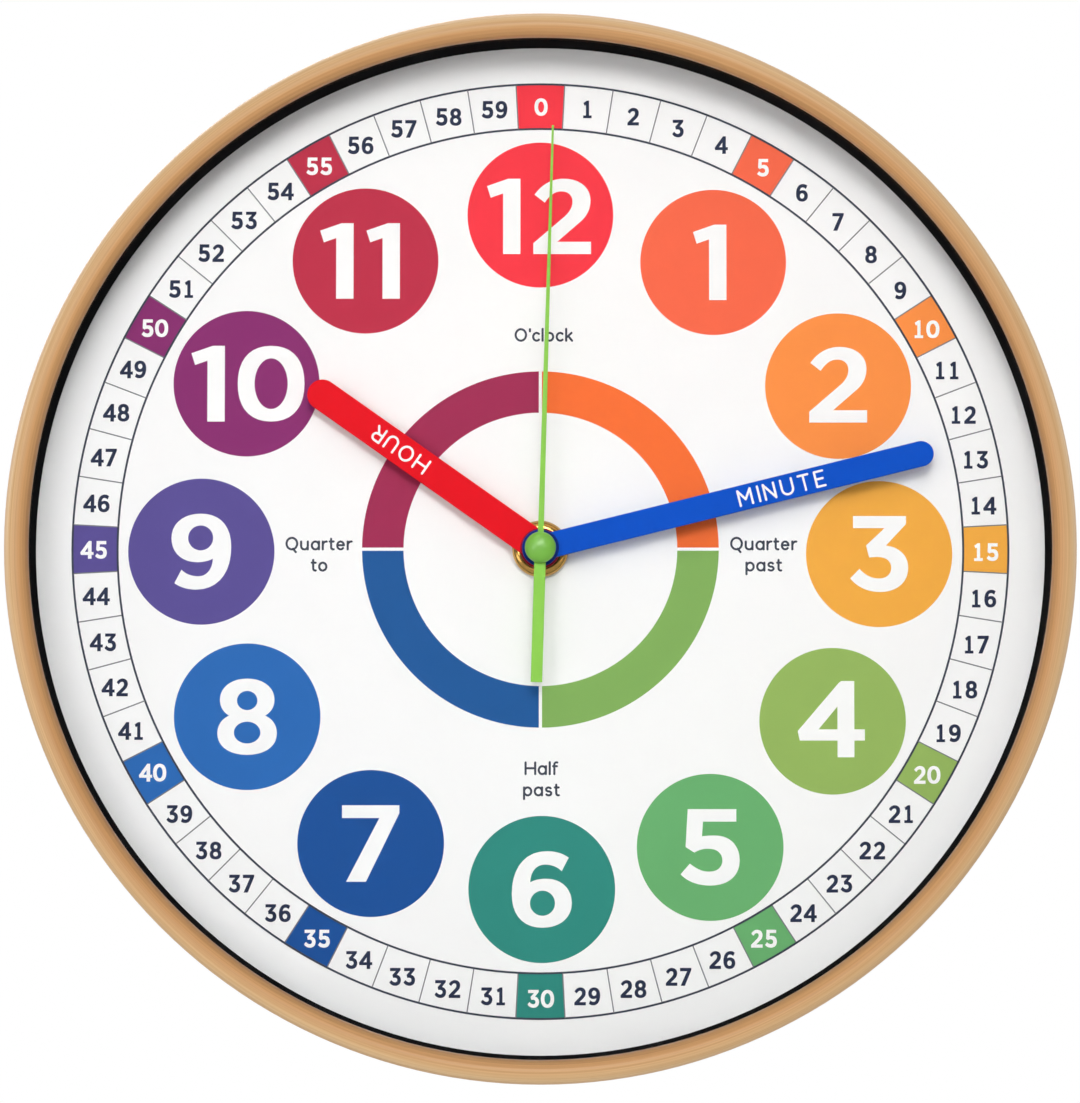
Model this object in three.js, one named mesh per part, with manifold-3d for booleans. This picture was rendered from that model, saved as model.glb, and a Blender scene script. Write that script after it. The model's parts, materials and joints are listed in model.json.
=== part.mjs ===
// Teaching clock: a round wall clock with a coloured dial and a quartz movement, as it comes
// apart on a bench. All lengths are millimetres.
//
// Each piece is drawn with X to the right, Y up the dial and Z away from the wall, about the
// axis of the hands. The finished group is then stood up, so that +Z is up and the dial faces
// -Y, with the origin on the wall, at the screw that the clock hangs from.

import * as THREE from 'three';
import { mergeVertices } from 'three/addons/utils/BufferGeometryUtils.js';
import Module from 'manifold-3d';

const wasm = await Module();
wasm.setup();

// Clearances
const seatGap = 0.3;          // between large pieces stacked face to face
const fitGap = 0.1;           // round a located or pressed piece
const runGap = 0.08;          // radial clearance of a turning piece
const layerGap = 0.5;         // between hands, and between a wheel and what it passes
const overrun = 1;            // how far a cut passes the face it starts from

// Case
const clockDiameter = 305;
const lipWidth = 6.9;         // wood tone seen from the front
const lipThick = 4;
const hoopWall = 4.9;
const hoopChamfer = 0.8;
const lensThick = 2;
const ringDraft = 0.2;
const ringWall = 1.1;
const ringFoot = 1.5;
const dialThick = 0.6;
const backingThick = 2;

// Rear case
const flangeThick = 2.4;
const flangeInset = 0.3;      // its edge inside the hoop's edge
const flangeWidth = 13;
const spigotWall = 2;
const panRecess = 3;          // outer face of the pan, from the wall
const panThick = 2;
const panJoggle = 4;
const ribThick = 1.6;
const ribHeight = 4;
const ribCount = 8;
const curbHeight = 6;
const openingGap = 1.3;       // round the movement

// Keyhole hanger
const hookHeight = 112;       // hanging screw above the hands
const slotWidth = 5;
const entryDiameter = 10;
const entryDrop = 9;          // entry hole below the hanging position
const pocketDepth = 6;
const pocketSide = 4;         // room for the screw head, each side of the slot
const pocketWall = 1.5;

// Rim screws
const screwCount = 6;
const screwInset = 2.9;       // axis inside the hoop's edge
const screwHeadDiameter = 3.4;
const screwHeadThick = 1;
const screwShankDiameter = 1.6;
const screwBite = 8.5;        // depth in the hoop
const crossWidth = 0.5;
const crossDepth = 0.6;

// Movement housing
const movementRecess = 1.4;   // its back face, from the wall
const movementDepth = 16;
const caseWall = 1.2;
const caseCorner = 4;
const frontPlateThick = 1;
const movementTop = 28.2;     // top face above the hands
const cellDiameter = 14.2;
const cellLength = 50.5;
const cellNubDiameter = 5.5;
const cellNubLength = 1.3;
const cellRoom = 0.4;         // round the cell
const contactRoom = 1.55;     // at each end of the cell
const contactThick = 0.3;
const contactWidth = 3;
const contactBump = 4;
const bayWall = 1;
const postRadius = 1.2;
const bossHeight = 1;
const bridgeThick = 0.8;
const rubberThick = 0.9;
const rubberRadius = 11;

// Centre bush, washer and nut
const bushRadius = 4;
const bushFlangeRadius = 6;
const bushFlangeThick = 0.9;
const washerRadius = 7.2;
const washerThick = 0.3;
const nutRadius = 8.15;
const nutHeight = 2.8;
const nutEdge = 0.6;
const nutCrownRadius = 5.9;
const bushProud = 0.2;

// Arbors and pipes
const arborRadius = 0.5;
const pivotRadius = 0.4;
const cannonRadius = 1.5;
const hourPipeRadius = 2.5;
const pipeProud = 0.2;
const stemRadius = 1.2;

// Wheels: tooth counts and modules
const rotorLeaves = 6;
const intermediateTeeth = 30;
const intermediateLeaves = 6;
const secondTeeth = 36;
const secondLeaves = 6;
const thirdTeeth = 45;
const thirdLeaves = 6;
const centreTeeth = 48;
const cannonLeaves = 10;
const reductionTeeth = 30;
const reductionLeaves = 8;
const hourTeeth = 32;
const knobLeaves = 10;
const mostLeaves = 12;        // a wheel with no more teeth than this is a pinion
const rotorModule = 0.5;
const secondModule = 0.5;
const thirdModule = 0.4;
const motionModule = 0.504;
const wheelThick = 0.8;
const motionThick = 1;
const layerPitch = 1.7;       // from one wheel of the running train to the next

// Tooth form, as shares of the module
const addendumShare = 0.85;
const dedendumShare = 1.25;
const backlashShare = 0.16;
const undercutShare = 0.72;   // how far a leaf draws in below its base circle
const webHoleShare = 0.22;    // lightening holes, as shares of the root radius
const webPlaceShare = 0.6;
const webHoles = 3;
const pressureAngle = THREE.MathUtils.degToRad(20);

// Angles where the arbors stand round the hands, anticlockwise from three o'clock, in degrees
const thirdAngle = 140;
const intermediateAngle = 30;
const rotorAngle = 75;      // seen from the intermediate wheel
const reductionAngle = 165;
const knobAngle = 200;      // seen from the reduction wheel

// Setting knob
const knobRadius = 6;
const knobThick = 3.2;
const knobRecessGap = 0.5;
const knobFlutes = 18;
const knobFluteDepth = 0.5;

// Stepping motor and board
const magnetRadius = 3;
const magnetThick = 2.5;
const rotorAirGap = 0.5;
const statorThick = 0.8;
const statorRim = 1.9;
const statorArm = 3;
const statorNotch = 0.35;
const statorNotchAngle = 45;  // where the air gap widens, in degrees
const coilRadius = 4;
const flangeLip = 0.3;
const bobbinFlange = 0.8;
const barrelRadius = 2.2;
const coreWidth = 2.6;
const coreThick = 0.8;
const coilLength = 17.8;
const coilSideRoom = 1;       // between the coil and the side of the housing
const coilFloorRoom = 0.7;    // between its core and the floor of the train
const boardThick = 1;
const boardSideRoom = 1.3;    // at each end of the board
const boardHeight = 9;
const boardLift = 3.4;        // above the floor of the housing
const crystalRadius = 1;
const crystalLength = 6;
const chipRadius = 2.4;
const chipHeight = 0.9;

// Hands
const handBossHeight = 1.7;
const hourBossRadius = 5.8;
const hourHandLength = 81;
const hourHandWidth = 8.8;
const hourHandThick = 1;
const minuteBossRadius = 5.3;
const minuteHandLength = 116;
const minuteHandWidth = 7.3;
const minuteHandThick = 0.9;
const secondHubRadius = 3;
const secondHubThick = 0.9;
const needleLength = 121.5;
const needleWidth = 1.7;
const needleTipWidth = 0.6;
const needleThick = 0.5;
const tailLength = 38.5;
const tailWidth = 3.3;
const capRadius = 4.45;
const capHeight = 2.9;
const capEdge = 0.4;
const capSocket = 1.5;
const capToLens = 3.4;
const hourHandAngle = 305.2;  // clockwise from twelve, in degrees
const minuteHandAngle = 76.1;
const secondHandAngle = 1.7;

// Facets: how many sides a round piece has
const hoopSides = 54;
const hubSides = 16;
const smallSides = 12;
const screwSides = 8;
const pinSides = 6;
const noseSteps = 6;
const domeSteps = 4;
const cornerSteps = 2;

// Depths from the wall forward, each from the piece behind it
const movementFront = movementRecess + movementDepth;
const rubberBack = movementFront + fitGap;
const caseFront = rubberBack + rubberThick;
const backingBack = caseFront + seatGap;
const dialBack = backingBack + backingThick + seatGap;
const dialFace = dialBack + dialThick;
const washerBack = dialFace + fitGap;
const nutBack = washerBack + washerThick + fitGap;
const bushFront = nutBack + nutHeight + bushProud;
const hourBossBack = bushFront + layerGap;
const hourPipeFront = hourBossBack + handBossHeight + pipeProud;
const minuteBossBack = hourPipeFront + layerGap;
const cannonFront = minuteBossBack + handBossHeight + pipeProud;
const secondHubBack = cannonFront + layerGap;
const capBack = secondHubBack + secondHubThick + fitGap;
const capFront = capBack + capHeight;
const lensBack = capFront + capToLens;
const lensFront = lensBack + lensThick;
const lipBack = lensFront + seatGap;
const hoopFront = lipBack + lipThick;
const hoopBack = flangeThick + seatGap;
const ringBack = dialFace + seatGap;
const ringFront = lensBack - seatGap;

// Radii of the case
const hoopRadius = clockDiameter / 2;
const hoopBore = hoopRadius - hoopWall;
const lipBore = hoopRadius - lipWidth;
const packRadius = hoopBore - seatGap;
const flangeRadius = hoopRadius - flangeInset;
const screwCircle = hoopRadius - screwInset;
const dialHole = bushRadius + fitGap;

// Layers of the movement, from its floor forward
const floorInside = movementRecess + caseWall;
const bossTop = floorInside + bossHeight;
const caseLipFront = movementFront - frontPlateThick - fitGap;
const plateBack = movementFront - frontPlateThick;
const layer = [0, 1, 2, 3].map((step) => bossTop + layerGap + step * layerPitch);
const bridgeBack = layer[3] + wheelThick + layerGap;
const bridgeFront = bridgeBack + bridgeThick;
const motionLayer = bridgeFront + layerGap;
const hourLayer = motionLayer + motionThick + layerGap;
const bushBack = plateBack - fitGap - bushFlangeThick;

// Centre distances, and the modules that two stages must share
const thirdDistance = thirdModule * (secondLeaves + thirdTeeth) / 2;
const centreModule = 2 * thirdDistance / (thirdLeaves + centreTeeth);
const intermediateDistance = secondModule * (intermediateLeaves + secondTeeth) / 2;
const rotorDistance = rotorModule * (rotorLeaves + intermediateTeeth) / 2;
const motionDistance = motionModule * (cannonLeaves + reductionTeeth) / 2;
const hourModule = 2 * motionDistance / (reductionLeaves + hourTeeth);
const knobDistance = motionModule * (knobLeaves + reductionTeeth) / 2;

// Points in the plane of the dial
const along = (from, degrees, distance) => {
  const angle = THREE.MathUtils.degToRad(degrees);
  return new THREE.Vector2(Math.cos(angle), Math.sin(angle)).multiplyScalar(distance).add(from);
};
const hub = new THREE.Vector2(0, 0);
const thirdAt = along(hub, thirdAngle, thirdDistance);
const intermediateAt = along(hub, intermediateAngle, intermediateDistance);
const rotorAt = along(intermediateAt, rotorAngle, rotorDistance);
const reductionAt = along(hub, reductionAngle, motionDistance);
const knobAt = along(reductionAt, knobAngle, knobDistance);

// Inside of the movement housing
const trainRadius = centreModule * centreTeeth / 2 + addendumShare * centreModule;
const trainFloor = -(trainRadius + layerGap + fitGap);
const bayTop = trainFloor - bayWall;
const bayBottom = bayTop - cellDiameter - 2 * cellRoom;
const movementBottom = bayBottom - caseWall;
const roomHalfWidth = cellLength / 2 + contactRoom;
const movementHalfWidth = roomHalfWidth + caseWall;
const roomTop = movementTop - caseWall;
const cellY = (bayTop + bayBottom) / 2;
const cellZ = plateBack - cellRoom / 2 - cellDiameter / 2;
const knobBack = movementRecess + fitGap;
const knobFloorBack = knobBack + knobThick + knobRecessGap;
const knobFloorFront = knobFloorBack + caseWall;
const recessRadius = knobRadius + knobRecessGap;
const boardWidth = 2 * (roomHalfWidth - boardSideRoom);
const boardTop = roomTop - cellRoom;
const boardBottom = boardTop - boardHeight;
const boardBack = floorInside + boardLift;
const boardFront = boardBack + boardThick;
const statorBack = layer[2] + fitGap;
const statorFront = statorBack + statorThick;
const coreBack = statorFront + fitGap;
const coilZ = coreBack + coreThick / 2;
const coilX = roomHalfWidth - coilSideRoom - flangeLip - coilRadius;
const coreLow = trainFloor + coilFloorRoom;
const coilLow = coreLow + statorArm + fitGap;
const coilHigh = coilLow + coilLength;
const coreHigh = coilHigh + statorArm + fitGap;
const contactX = roomHalfWidth - fitGap - contactThick;
const contactBack = boardFront + fitGap + contactThick;

// Posts that carry the bridge, in corners that no wheel reaches
const postsAt = [
  new THREE.Vector2(-(roomHalfWidth - 2 * postRadius), thirdAt.y + 4 * postRadius),
  new THREE.Vector2(hub.x + postRadius, boardBottom - 2 * postRadius + fitGap),
  new THREE.Vector2(intermediateAt.x, trainFloor + postRadius + 2 * fitGap),
];

// Manifold solids from three.js geometry
function solid(geometry) {
  const bare = new THREE.BufferGeometry();
  bare.setAttribute('position', geometry.getAttribute('position'));
  bare.setIndex(geometry.index);
  const merged = mergeVertices(bare);
  return new wasm.Manifold(new wasm.Mesh({
    numProp: 3,
    vertProperties: merged.getAttribute('position').array,
    triVerts: new Uint32Array(merged.index.array),
  }));
}

function geometryOf(body) {
  const mesh = body.getMesh();
  const geometry = new THREE.BufferGeometry();
  const positions = new Float32Array(mesh.numVert * 3);
  for (let i = 0; i < mesh.numVert; i += 1) {
    for (let k = 0; k < 3; k += 1) {
      positions[3 * i + k] = mesh.vertProperties[i * mesh.numProp + k];
    }
  }
  geometry.setAttribute('position', new THREE.BufferAttribute(positions, 3));
  geometry.setIndex(Array.from(mesh.triVerts));
  geometry.computeVertexNormals();
  return geometry;
}

// A turned solid about Z. The profile lists [radius, height] anticlockwise; one that doesn't
// start and end on the axis is closed on itself.
function turned(profile, sides) {
  const points = profile.map(([radius, height]) => new THREE.Vector2(radius, height));
  if (points[0].x > 0) points.push(points[0].clone());
  return solid(new THREE.LatheGeometry(points, sides).rotateX(Math.PI / 2));
}

function rod(radius, from, to, sides = smallSides) {
  return turned([[0, from], [radius, from], [radius, to], [0, to]], sides);
}

// A round hole whose flats, not its corners, lie at the radius.
function bore(radius, from, to, sides = smallSides) {
  return rod(radius / Math.cos(Math.PI / sides), from, to, sides);
}

function tube(outer, inner, from, to, sides = smallSides) {
  return rod(outer, from, to, sides).subtract(bore(inner, from - overrun, to + overrun, sides));
}

function prism(shape, from, to, curveSegments = smallSides / 2) {
  const options = { depth: to - from, bevelEnabled: false, curveSegments };
  return solid(toIndexed(new THREE.ExtrudeGeometry(shape, options).translate(0, 0, from)));
}

function block(left, right, bottom, top, from, to) {
  const size = [right - left, top - bottom, to - from];
  const centre = [(left + right) / 2, (bottom + top) / 2, (from + to) / 2];
  return solid(new THREE.BoxGeometry(...size).translate(...centre));
}

// ExtrudeGeometry has no index, which the merge of its vertices then gives it.
function toIndexed(geometry) {
  geometry.deleteAttribute('normal');
  geometry.deleteAttribute('uv');
  return mergeVertices(geometry);
}

function roundedBox(left, right, bottom, top, corner, from, to) {
  const shape = new THREE.Shape();
  shape.absarc(right - corner, top - corner, corner, 0, Math.PI / 2);
  shape.absarc(left + corner, top - corner, corner, Math.PI / 2, Math.PI);
  shape.absarc(left + corner, bottom + corner, corner, Math.PI, 1.5 * Math.PI);
  shape.absarc(right - corner, bottom + corner, corner, 1.5 * Math.PI, 2 * Math.PI);
  return prism(shape, from, to, cornerSteps);
}

const placed = (body, at) => body.translate([at.x, at.y, 0]);
const turnedBy = (body, degrees) => body.rotate([0, 0, degrees]);
const joined = (bodies) => bodies.reduce((whole, body) => whole.add(body));

// The teeth of a wheel, with one centred on +X. Flanks are involutes from the base circle
// out; below it a pinion's leaves draw in, which leaves room for the tips of the wheel.
function teeth(count, module, from, to) {
  const pitchRadius = count * module / 2;
  const baseRadius = pitchRadius * Math.cos(pressureAngle);
  const rootRadius = pitchRadius - dedendumShare * module;
  const tipRadius = pitchRadius + addendumShare * module;
  const involute = (angle) => Math.tan(angle) - angle;
  const halfAtPitch = Math.PI / (2 * count) - backlashShare * module / pitchRadius;
  const halfAngle = (radius) => {
    const slope = Math.acos(Math.min(1, baseRadius / radius));
    const half = halfAtPitch + involute(pressureAngle) - involute(slope);
    return radius < baseRadius ? half * undercutShare : half;
  };
  const radii = count > mostLeaves ? [rootRadius, tipRadius] : [rootRadius, pitchRadius, tipRadius];
  const outline = [];
  for (let tooth = 0; tooth < count; tooth += 1) {
    const centre = tooth * 2 * Math.PI / count;
    const rising = radii.map((radius) => [radius, centre - halfAngle(radius)]);
    const falling = radii.map((radius) => [radius, centre + halfAngle(radius)]).reverse();
    for (const [radius, angle] of [...rising, ...falling]) {
      outline.push(new THREE.Vector2(radius * Math.cos(angle), radius * Math.sin(angle)));
    }
  }
  return prism(new THREE.Shape(outline), from, to);
}

// The turn that puts a wheel in mesh: a gap of its own meets each tooth of the driver.
function meshTurn(driverAt, driverCount, driverTurn, wheelAt, wheelCount) {
  const line = Math.atan2(wheelAt.y - driverAt.y, wheelAt.x - driverAt.x);
  const driverPitch = 2 * Math.PI / driverCount;
  const offset = (line - driverTurn) / driverPitch;
  return line + Math.PI + (offset - Math.floor(offset) - 1 / 2) * 2 * Math.PI / wheelCount;
}

// Lightening holes through the web of a wheel
function lightened(wheel, count, module, from, to) {
  const rootRadius = count * module / 2 - dedendumShare * module;
  const holeRadius = rootRadius * webHoleShare;
  const hole = placed(rod(holeRadius, from - overrun, to + overrun, pinSides),
    new THREE.Vector2(rootRadius * webPlaceShare, 0));
  const holes = Array.from({ length: webHoles }, (unused, k) => (
    turnedBy(hole, (k + 1 / 2) * 360 / webHoles)));
  return holes.reduce((whole, cut) => whole.subtract(cut), wheel);
}

// Finishes
const finish = (color, roughness, metalness = 0) => ({ color, roughness, metalness });
const finishes = {
  woodTone: finish('#d6a675', 0.38),
  blackPlastic: finish('#121214', 0.5),
  clearPlastic: { ...finish('#f4f7f8', 0.05), transparent: true, opacity: 0.2 },
  printedSheet: finish('#fcfcfb', 0.6),
  fibreboard: finish('#b9a184', 0.85),
  greyPlastic: finish('#2b2c2e', 0.55),
  acetal: finish('#ece9e0', 0.45),
  redAcetal: finish('#b5342c', 0.45),
  brass: finish('#d9b45a', 0.25, 1),
  steel: finish('#b8bcc0', 0.35, 1),
  magnet: finish('#4a4b4f', 0.4, 1),
  copper: finish('#b4683a', 0.4, 1),
  rubber: finish('#1a1a1a', 0.9),
  board: finish('#2f6b45', 0.5),
  cellWrap: finish('#3a6ea5', 0.35),
  redPaint: finish('#ec1523', 0.35),
  bluePaint: finish('#0253cc', 0.35),
  greenPlastic: finish('#91d251', 0.3),
};

const clock = new THREE.Group();

function addPart(name, body, look, at = hub, turn = 0) {
  const mesh = new THREE.Mesh(geometryOf(body), new THREE.MeshStandardMaterial(finishes[look]));
  mesh.name = name;
  mesh.position.set(at.x, at.y, 0);
  mesh.rotation.z = turn;
  clock.add(mesh);
}

// Case, from the front

function frontFrame() {
  const noseRadius = lipWidth / 2;
  const noseHeight = hoopFront - noseRadius;
  const nose = Array.from({ length: noseSteps + 1 }, (unused, step) => {
    const angle = Math.PI * step / noseSteps;
    return [
      hoopRadius - noseRadius + noseRadius * Math.cos(angle),
      noseHeight + noseRadius * Math.sin(angle),
    ];
  });
  const hoop = turned([
    [hoopBore, hoopBack],
    [hoopRadius - hoopChamfer, hoopBack],
    [hoopRadius, hoopBack + hoopChamfer],
    ...nose,
    [lipBore, lipBack],
    [hoopBore, lipBack],
  ], hoopSides);
  const pilot = bore(screwShankDiameter / 2 + fitGap, hoopBack - overrun,
    hoopBack + screwBite + fitGap, pinSides);
  return screwPlaces().reduce((whole, at) => whole.subtract(placed(pilot, at)), hoop);
}

function screwPlaces() {
  return Array.from({ length: screwCount }, (unused, k) => (
    along(hub, (k + 1 / 2) * 360 / screwCount, screwCircle)));
}

function innerRing() {
  const wallRadius = lipBore + ringWall;
  return turned([
    [lipBore - ringDraft, ringBack],
    [packRadius, ringBack],
    [packRadius, ringBack + ringFoot],
    [wallRadius, ringBack + ringFoot],
    [wallRadius, ringFront],
    [lipBore, ringFront],
  ], hoopSides);
}

function discWithHole(radius, hole, from, to) {
  return rod(radius, from, to, hoopSides)
    .subtract(bore(hole, from - overrun, to + overrun, hubSides));
}

function rimScrew() {
  const headBack = fitGap;
  const headFront = headBack + screwHeadThick;
  const shankFront = hoopBack + screwBite;
  const half = crossWidth / 2;
  const reach = screwHeadDiameter / 2 - crossWidth;
  const cut = [headBack - overrun, headBack + crossDepth];
  return rod(screwHeadDiameter / 2, headBack, headFront, screwSides)
    .add(rod(screwShankDiameter / 2, headFront - crossDepth / 2, shankFront, pinSides))
    .subtract(block(-reach, reach, -half, half, ...cut))
    .subtract(block(-half, half, -reach, reach, ...cut));
}

// The screw head enters the round hole, then its shank slides up the slot to the hook.
function keyhole(from, to) {
  const slot = block(-slotWidth / 2, slotWidth / 2, hookHeight - entryDrop, hookHeight, from, to);
  return joined([
    slot,
    placed(bore(slotWidth / 2, from, to), new THREE.Vector2(0, hookHeight)),
    placed(bore(entryDiameter / 2, from, to), new THREE.Vector2(0, hookHeight - entryDrop)),
  ]);
}

function rearCase() {
  const panInside = panRecess + panThick;
  const panEdge = flangeRadius - flangeWidth;
  const spigotInside = packRadius - spigotWall;
  const pan = turned([
    [0, panRecess],
    [panEdge - panJoggle, panRecess],
    [panEdge, 0],
    [flangeRadius, 0],
    [flangeRadius, flangeThick],
    [packRadius, flangeThick],
    [packRadius, caseFront],
    [spigotInside, caseFront],
    [spigotInside, flangeThick],
    [panEdge + fitGap, flangeThick],
    [panEdge - panJoggle + fitGap, panInside],
    [0, panInside],
  ], hoopSides);
  const ribBack = panInside - panThick / 2;
  const ribFront = panInside + ribHeight;
  const spoke = block(movementHalfWidth, spigotInside + spigotWall / 2, -ribThick / 2, ribThick / 2,
    ribBack, ribFront);
  const spokes = Array.from({ length: ribCount }, (unused, k) => (
    turnedBy(spoke, (k + 1 / 2) * 360 / ribCount)));
  const box = (margin, from, to) => roundedBox(
    -movementHalfWidth - margin, movementHalfWidth + margin,
    movementBottom - margin, movementTop + margin, caseCorner + margin, from, to);
  const curb = box(openingGap + ribThick, ribBack, panInside + curbHeight);
  const pocketHalf = slotWidth / 2 + pocketSide;
  const pocketLow = hookHeight - entryDrop - entryDiameter / 2 - layerGap;
  const pocketHigh = hookHeight + pocketSide + slotWidth / 2;
  const pocketFront = panInside + pocketDepth;
  const pocketOuter = block(-pocketHalf - pocketWall, pocketHalf + pocketWall,
    pocketLow - pocketWall, pocketHigh + pocketWall, ribBack, pocketFront + pocketWall);
  const pocketInner = block(-pocketHalf, pocketHalf, pocketLow, pocketHigh, panInside, pocketFront);
  const counterbore = bore(screwHeadDiameter / 2 + fitGap, -overrun,
    fitGap + screwHeadThick + fitGap);
  const clearHole = bore(screwShankDiameter / 2 + fitGap, -overrun, flangeThick + overrun, pinSides);
  const screwHole = counterbore.add(clearHole);
  let body = joined([pan, ...spokes, curb, pocketOuter])
    .subtract(box(openingGap, -overrun, caseFront + overrun))
    .subtract(pocketInner)
    .subtract(keyhole(-overrun, panInside + pocketDepth / 2));
  for (const at of screwPlaces()) body = body.subtract(placed(screwHole, at));
  return body;
}

addPart('front_frame', frontFrame(), 'woodTone');
addPart('lens', rod(packRadius, lensBack, lensFront, hoopSides), 'clearPlastic');
addPart('inner_ring', innerRing(), 'blackPlastic');
addPart('dial', discWithHole(packRadius, dialHole, dialBack, dialFace), 'printedSheet');
addPart('backing_plate',
  discWithHole(packRadius, dialHole, backingBack, backingBack + backingThick), 'fibreboard');
addPart('rear_case', rearCase(), 'greyPlastic');
screwPlaces().forEach((at, k) => addPart(`rim_screw_${k + 1}`, rimScrew(), 'steel', at));

// Movement housing

function pivotBoss(at, radius) {
  return placed(rod(radius + postRadius / 2, floorInside - fitGap, bossTop, pinSides), at);
}

function pivotHole(at, radius, from, to) {
  return placed(bore(radius + runGap, from, to, pinSides), at);
}

function movementCase() {
  const box = roundedBox(-movementHalfWidth, movementHalfWidth, movementBottom, movementTop,
    caseCorner, movementRecess, caseLipFront);
  const room = roundedBox(-roomHalfWidth, roomHalfWidth, trainFloor, roomTop,
    caseWall, floorInside, caseLipFront + overrun);
  const bay = roundedBox(-roomHalfWidth, roomHalfWidth, bayBottom, bayTop,
    caseWall, movementRecess - overrun, caseLipFront + overrun);
  const recessWall = rod(recessRadius + caseWall, movementRecess, knobFloorFront, hubSides);
  const recess = bore(recessRadius, movementRecess - overrun, knobFloorBack, hubSides);
  const stemHole = bore(stemRadius + runGap, movementRecess, knobFloorFront + overrun);
  const post = rod(postRadius, floorInside - fitGap, bridgeBack - fitGap, pinSides);
  const boardPost = rod(postRadius, floorInside - fitGap, boardBack - fitGap, pinSides);
  const statorPost = rod(postRadius, floorInside - fitGap, statorBack - fitGap, pinSides);
  const boardPostY = (boardTop + boardBottom) / 2;
  const arbors = [hub, thirdAt, intermediateAt, rotorAt];
  let body = box.subtract(room).subtract(bay);
  body = joined([
    body,
    placed(recessWall, knobAt),
    ...arbors.map((at) => pivotBoss(at, pivotRadius)),
    ...postsAt.map((at) => placed(post, at)),
    placed(boardPost, new THREE.Vector2(-boardWidth / 2 + 3 * postRadius, boardPostY)),
    placed(boardPost, new THREE.Vector2(boardWidth / 2 - 3 * postRadius, boardPostY)),
    placed(statorPost, new THREE.Vector2(coilX, coreLow + statorArm / 2)),
    placed(statorPost, new THREE.Vector2(coilX, coreHigh - statorArm / 2)),
  ]);
  body = body.subtract(placed(recess, knobAt)).subtract(placed(stemHole, knobAt));
  for (const at of arbors) {
    body = body.subtract(pivotHole(at, pivotRadius, floorInside, bossTop + overrun));
  }
  const notch = (side) => {
    const inner = side * (contactX - fitGap);
    const outer = side * roomHalfWidth;
    return block(Math.min(inner, outer), Math.max(inner, outer), bayTop - overrun,
      trainFloor + overrun, contactBack - contactThick - fitGap, caseLipFront + overrun);
  };
  return body.subtract(notch(1)).subtract(notch(-1));
}

function frontPlate() {
  const plate = roundedBox(-movementHalfWidth, movementHalfWidth, movementBottom, movementTop,
    caseCorner, plateBack, movementFront);
  const inner = plateBack + frontPlateThick / 2;
  const post = rod(postRadius, bridgeFront + fitGap, inner, pinSides);
  const boss = rod(pivotRadius + postRadius, plateBack - bossHeight, inner, pinSides);
  const stemBoss = rod(stemRadius + postRadius, plateBack - bossHeight, inner, pinSides);
  let body = joined([
    plate,
    ...postsAt.map((at) => placed(post, at)),
    placed(boss, reductionAt),
    placed(stemBoss, knobAt),
  ]);
  body = body
    .subtract(pivotHole(reductionAt, pivotRadius, plateBack - bossHeight - overrun, plateBack))
    .subtract(pivotHole(knobAt, pivotRadius, plateBack - bossHeight - overrun, plateBack));
  return body.subtract(bore(bushRadius + fitGap, plateBack - overrun, movementFront + overrun));
}

function gearBridge() {
  const left = postsAt[0].x - postRadius;
  const right = coilX - coilRadius - flangeLip - layerGap - fitGap;
  const bottom = trainFloor + fitGap;
  const top = boardBottom - fitGap;
  const plate = roundedBox(left, right, bottom, top, 2 * postRadius, bridgeBack, bridgeFront);
  const cut = [bridgeBack - overrun, bridgeFront + overrun];
  return [
    pivotHole(hub, cannonRadius, ...cut),
    pivotHole(knobAt, stemRadius, ...cut),
    ...[thirdAt, intermediateAt, rotorAt, reductionAt].map((at) => (
      pivotHole(at, pivotRadius, ...cut))),
  ].reduce((whole, hole) => whole.subtract(hole), plate);
}

addPart('movement_case', movementCase(), 'blackPlastic');
addPart('movement_front_plate', frontPlate(), 'acetal');
addPart('gear_bridge', gearBridge(), 'acetal');

// Bush, washers and nut that clamp the movement to the dial

function centreBush() {
  return rod(bushFlangeRadius, bushBack, bushBack + bushFlangeThick, hubSides)
    .add(rod(bushRadius, bushBack, bushFront, hubSides))
    .subtract(bore(hourPipeRadius + runGap, bushBack - overrun, bushFront + overrun, hubSides));
}

function brassNut() {
  const nutFront = nutBack + nutHeight;
  const crown = Array.from({ length: domeSteps + 1 }, (unused, step) => {
    const angle = Math.PI / 2 * step / domeSteps;
    return [
      nutCrownRadius + (nutRadius - nutCrownRadius) * Math.cos(angle),
      nutBack + nutEdge + (nutHeight - nutEdge) * Math.sin(angle),
    ];
  });
  const threadRadius = (bushRadius + fitGap) / Math.cos(Math.PI / hubSides);
  return turned([
    [threadRadius, nutBack],
    [nutRadius, nutBack],
    ...crown,
    [threadRadius, nutFront],
  ], hubSides);
}

addPart('centre_bush', centreBush(), 'brass');
addPart('rubber_washer',
  tube(rubberRadius, bushRadius + fitGap, rubberBack, rubberBack + rubberThick, hubSides), 'rubber');
addPart('brass_washer',
  tube(washerRadius, bushRadius + fitGap, washerBack, washerBack + washerThick, hubSides), 'brass');
addPart('brass_nut', brassNut(), 'brass');

// Running train: rotor, intermediate, second, third and centre wheels

const secondTurn = 0;
const thirdTurn = meshTurn(hub, secondLeaves, secondTurn, thirdAt, thirdTeeth);
const centreTurn = meshTurn(thirdAt, thirdLeaves, thirdTurn, hub, centreTeeth);
const intermediateTurn = meshTurn(hub, secondTeeth, secondTurn, intermediateAt, intermediateLeaves);
const rotorTurn = meshTurn(intermediateAt, intermediateTeeth, intermediateTurn, rotorAt, rotorLeaves);

const floorPivot = floorInside + fitGap;

// A plain arbor with a pivot at each end
function arbor(radius, backShoulder, frontShoulder, frontEnd) {
  return rod(pivotRadius, floorPivot, frontEnd, pinSides)
    .add(rod(radius, backShoulder, frontShoulder, pinSides));
}

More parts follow.
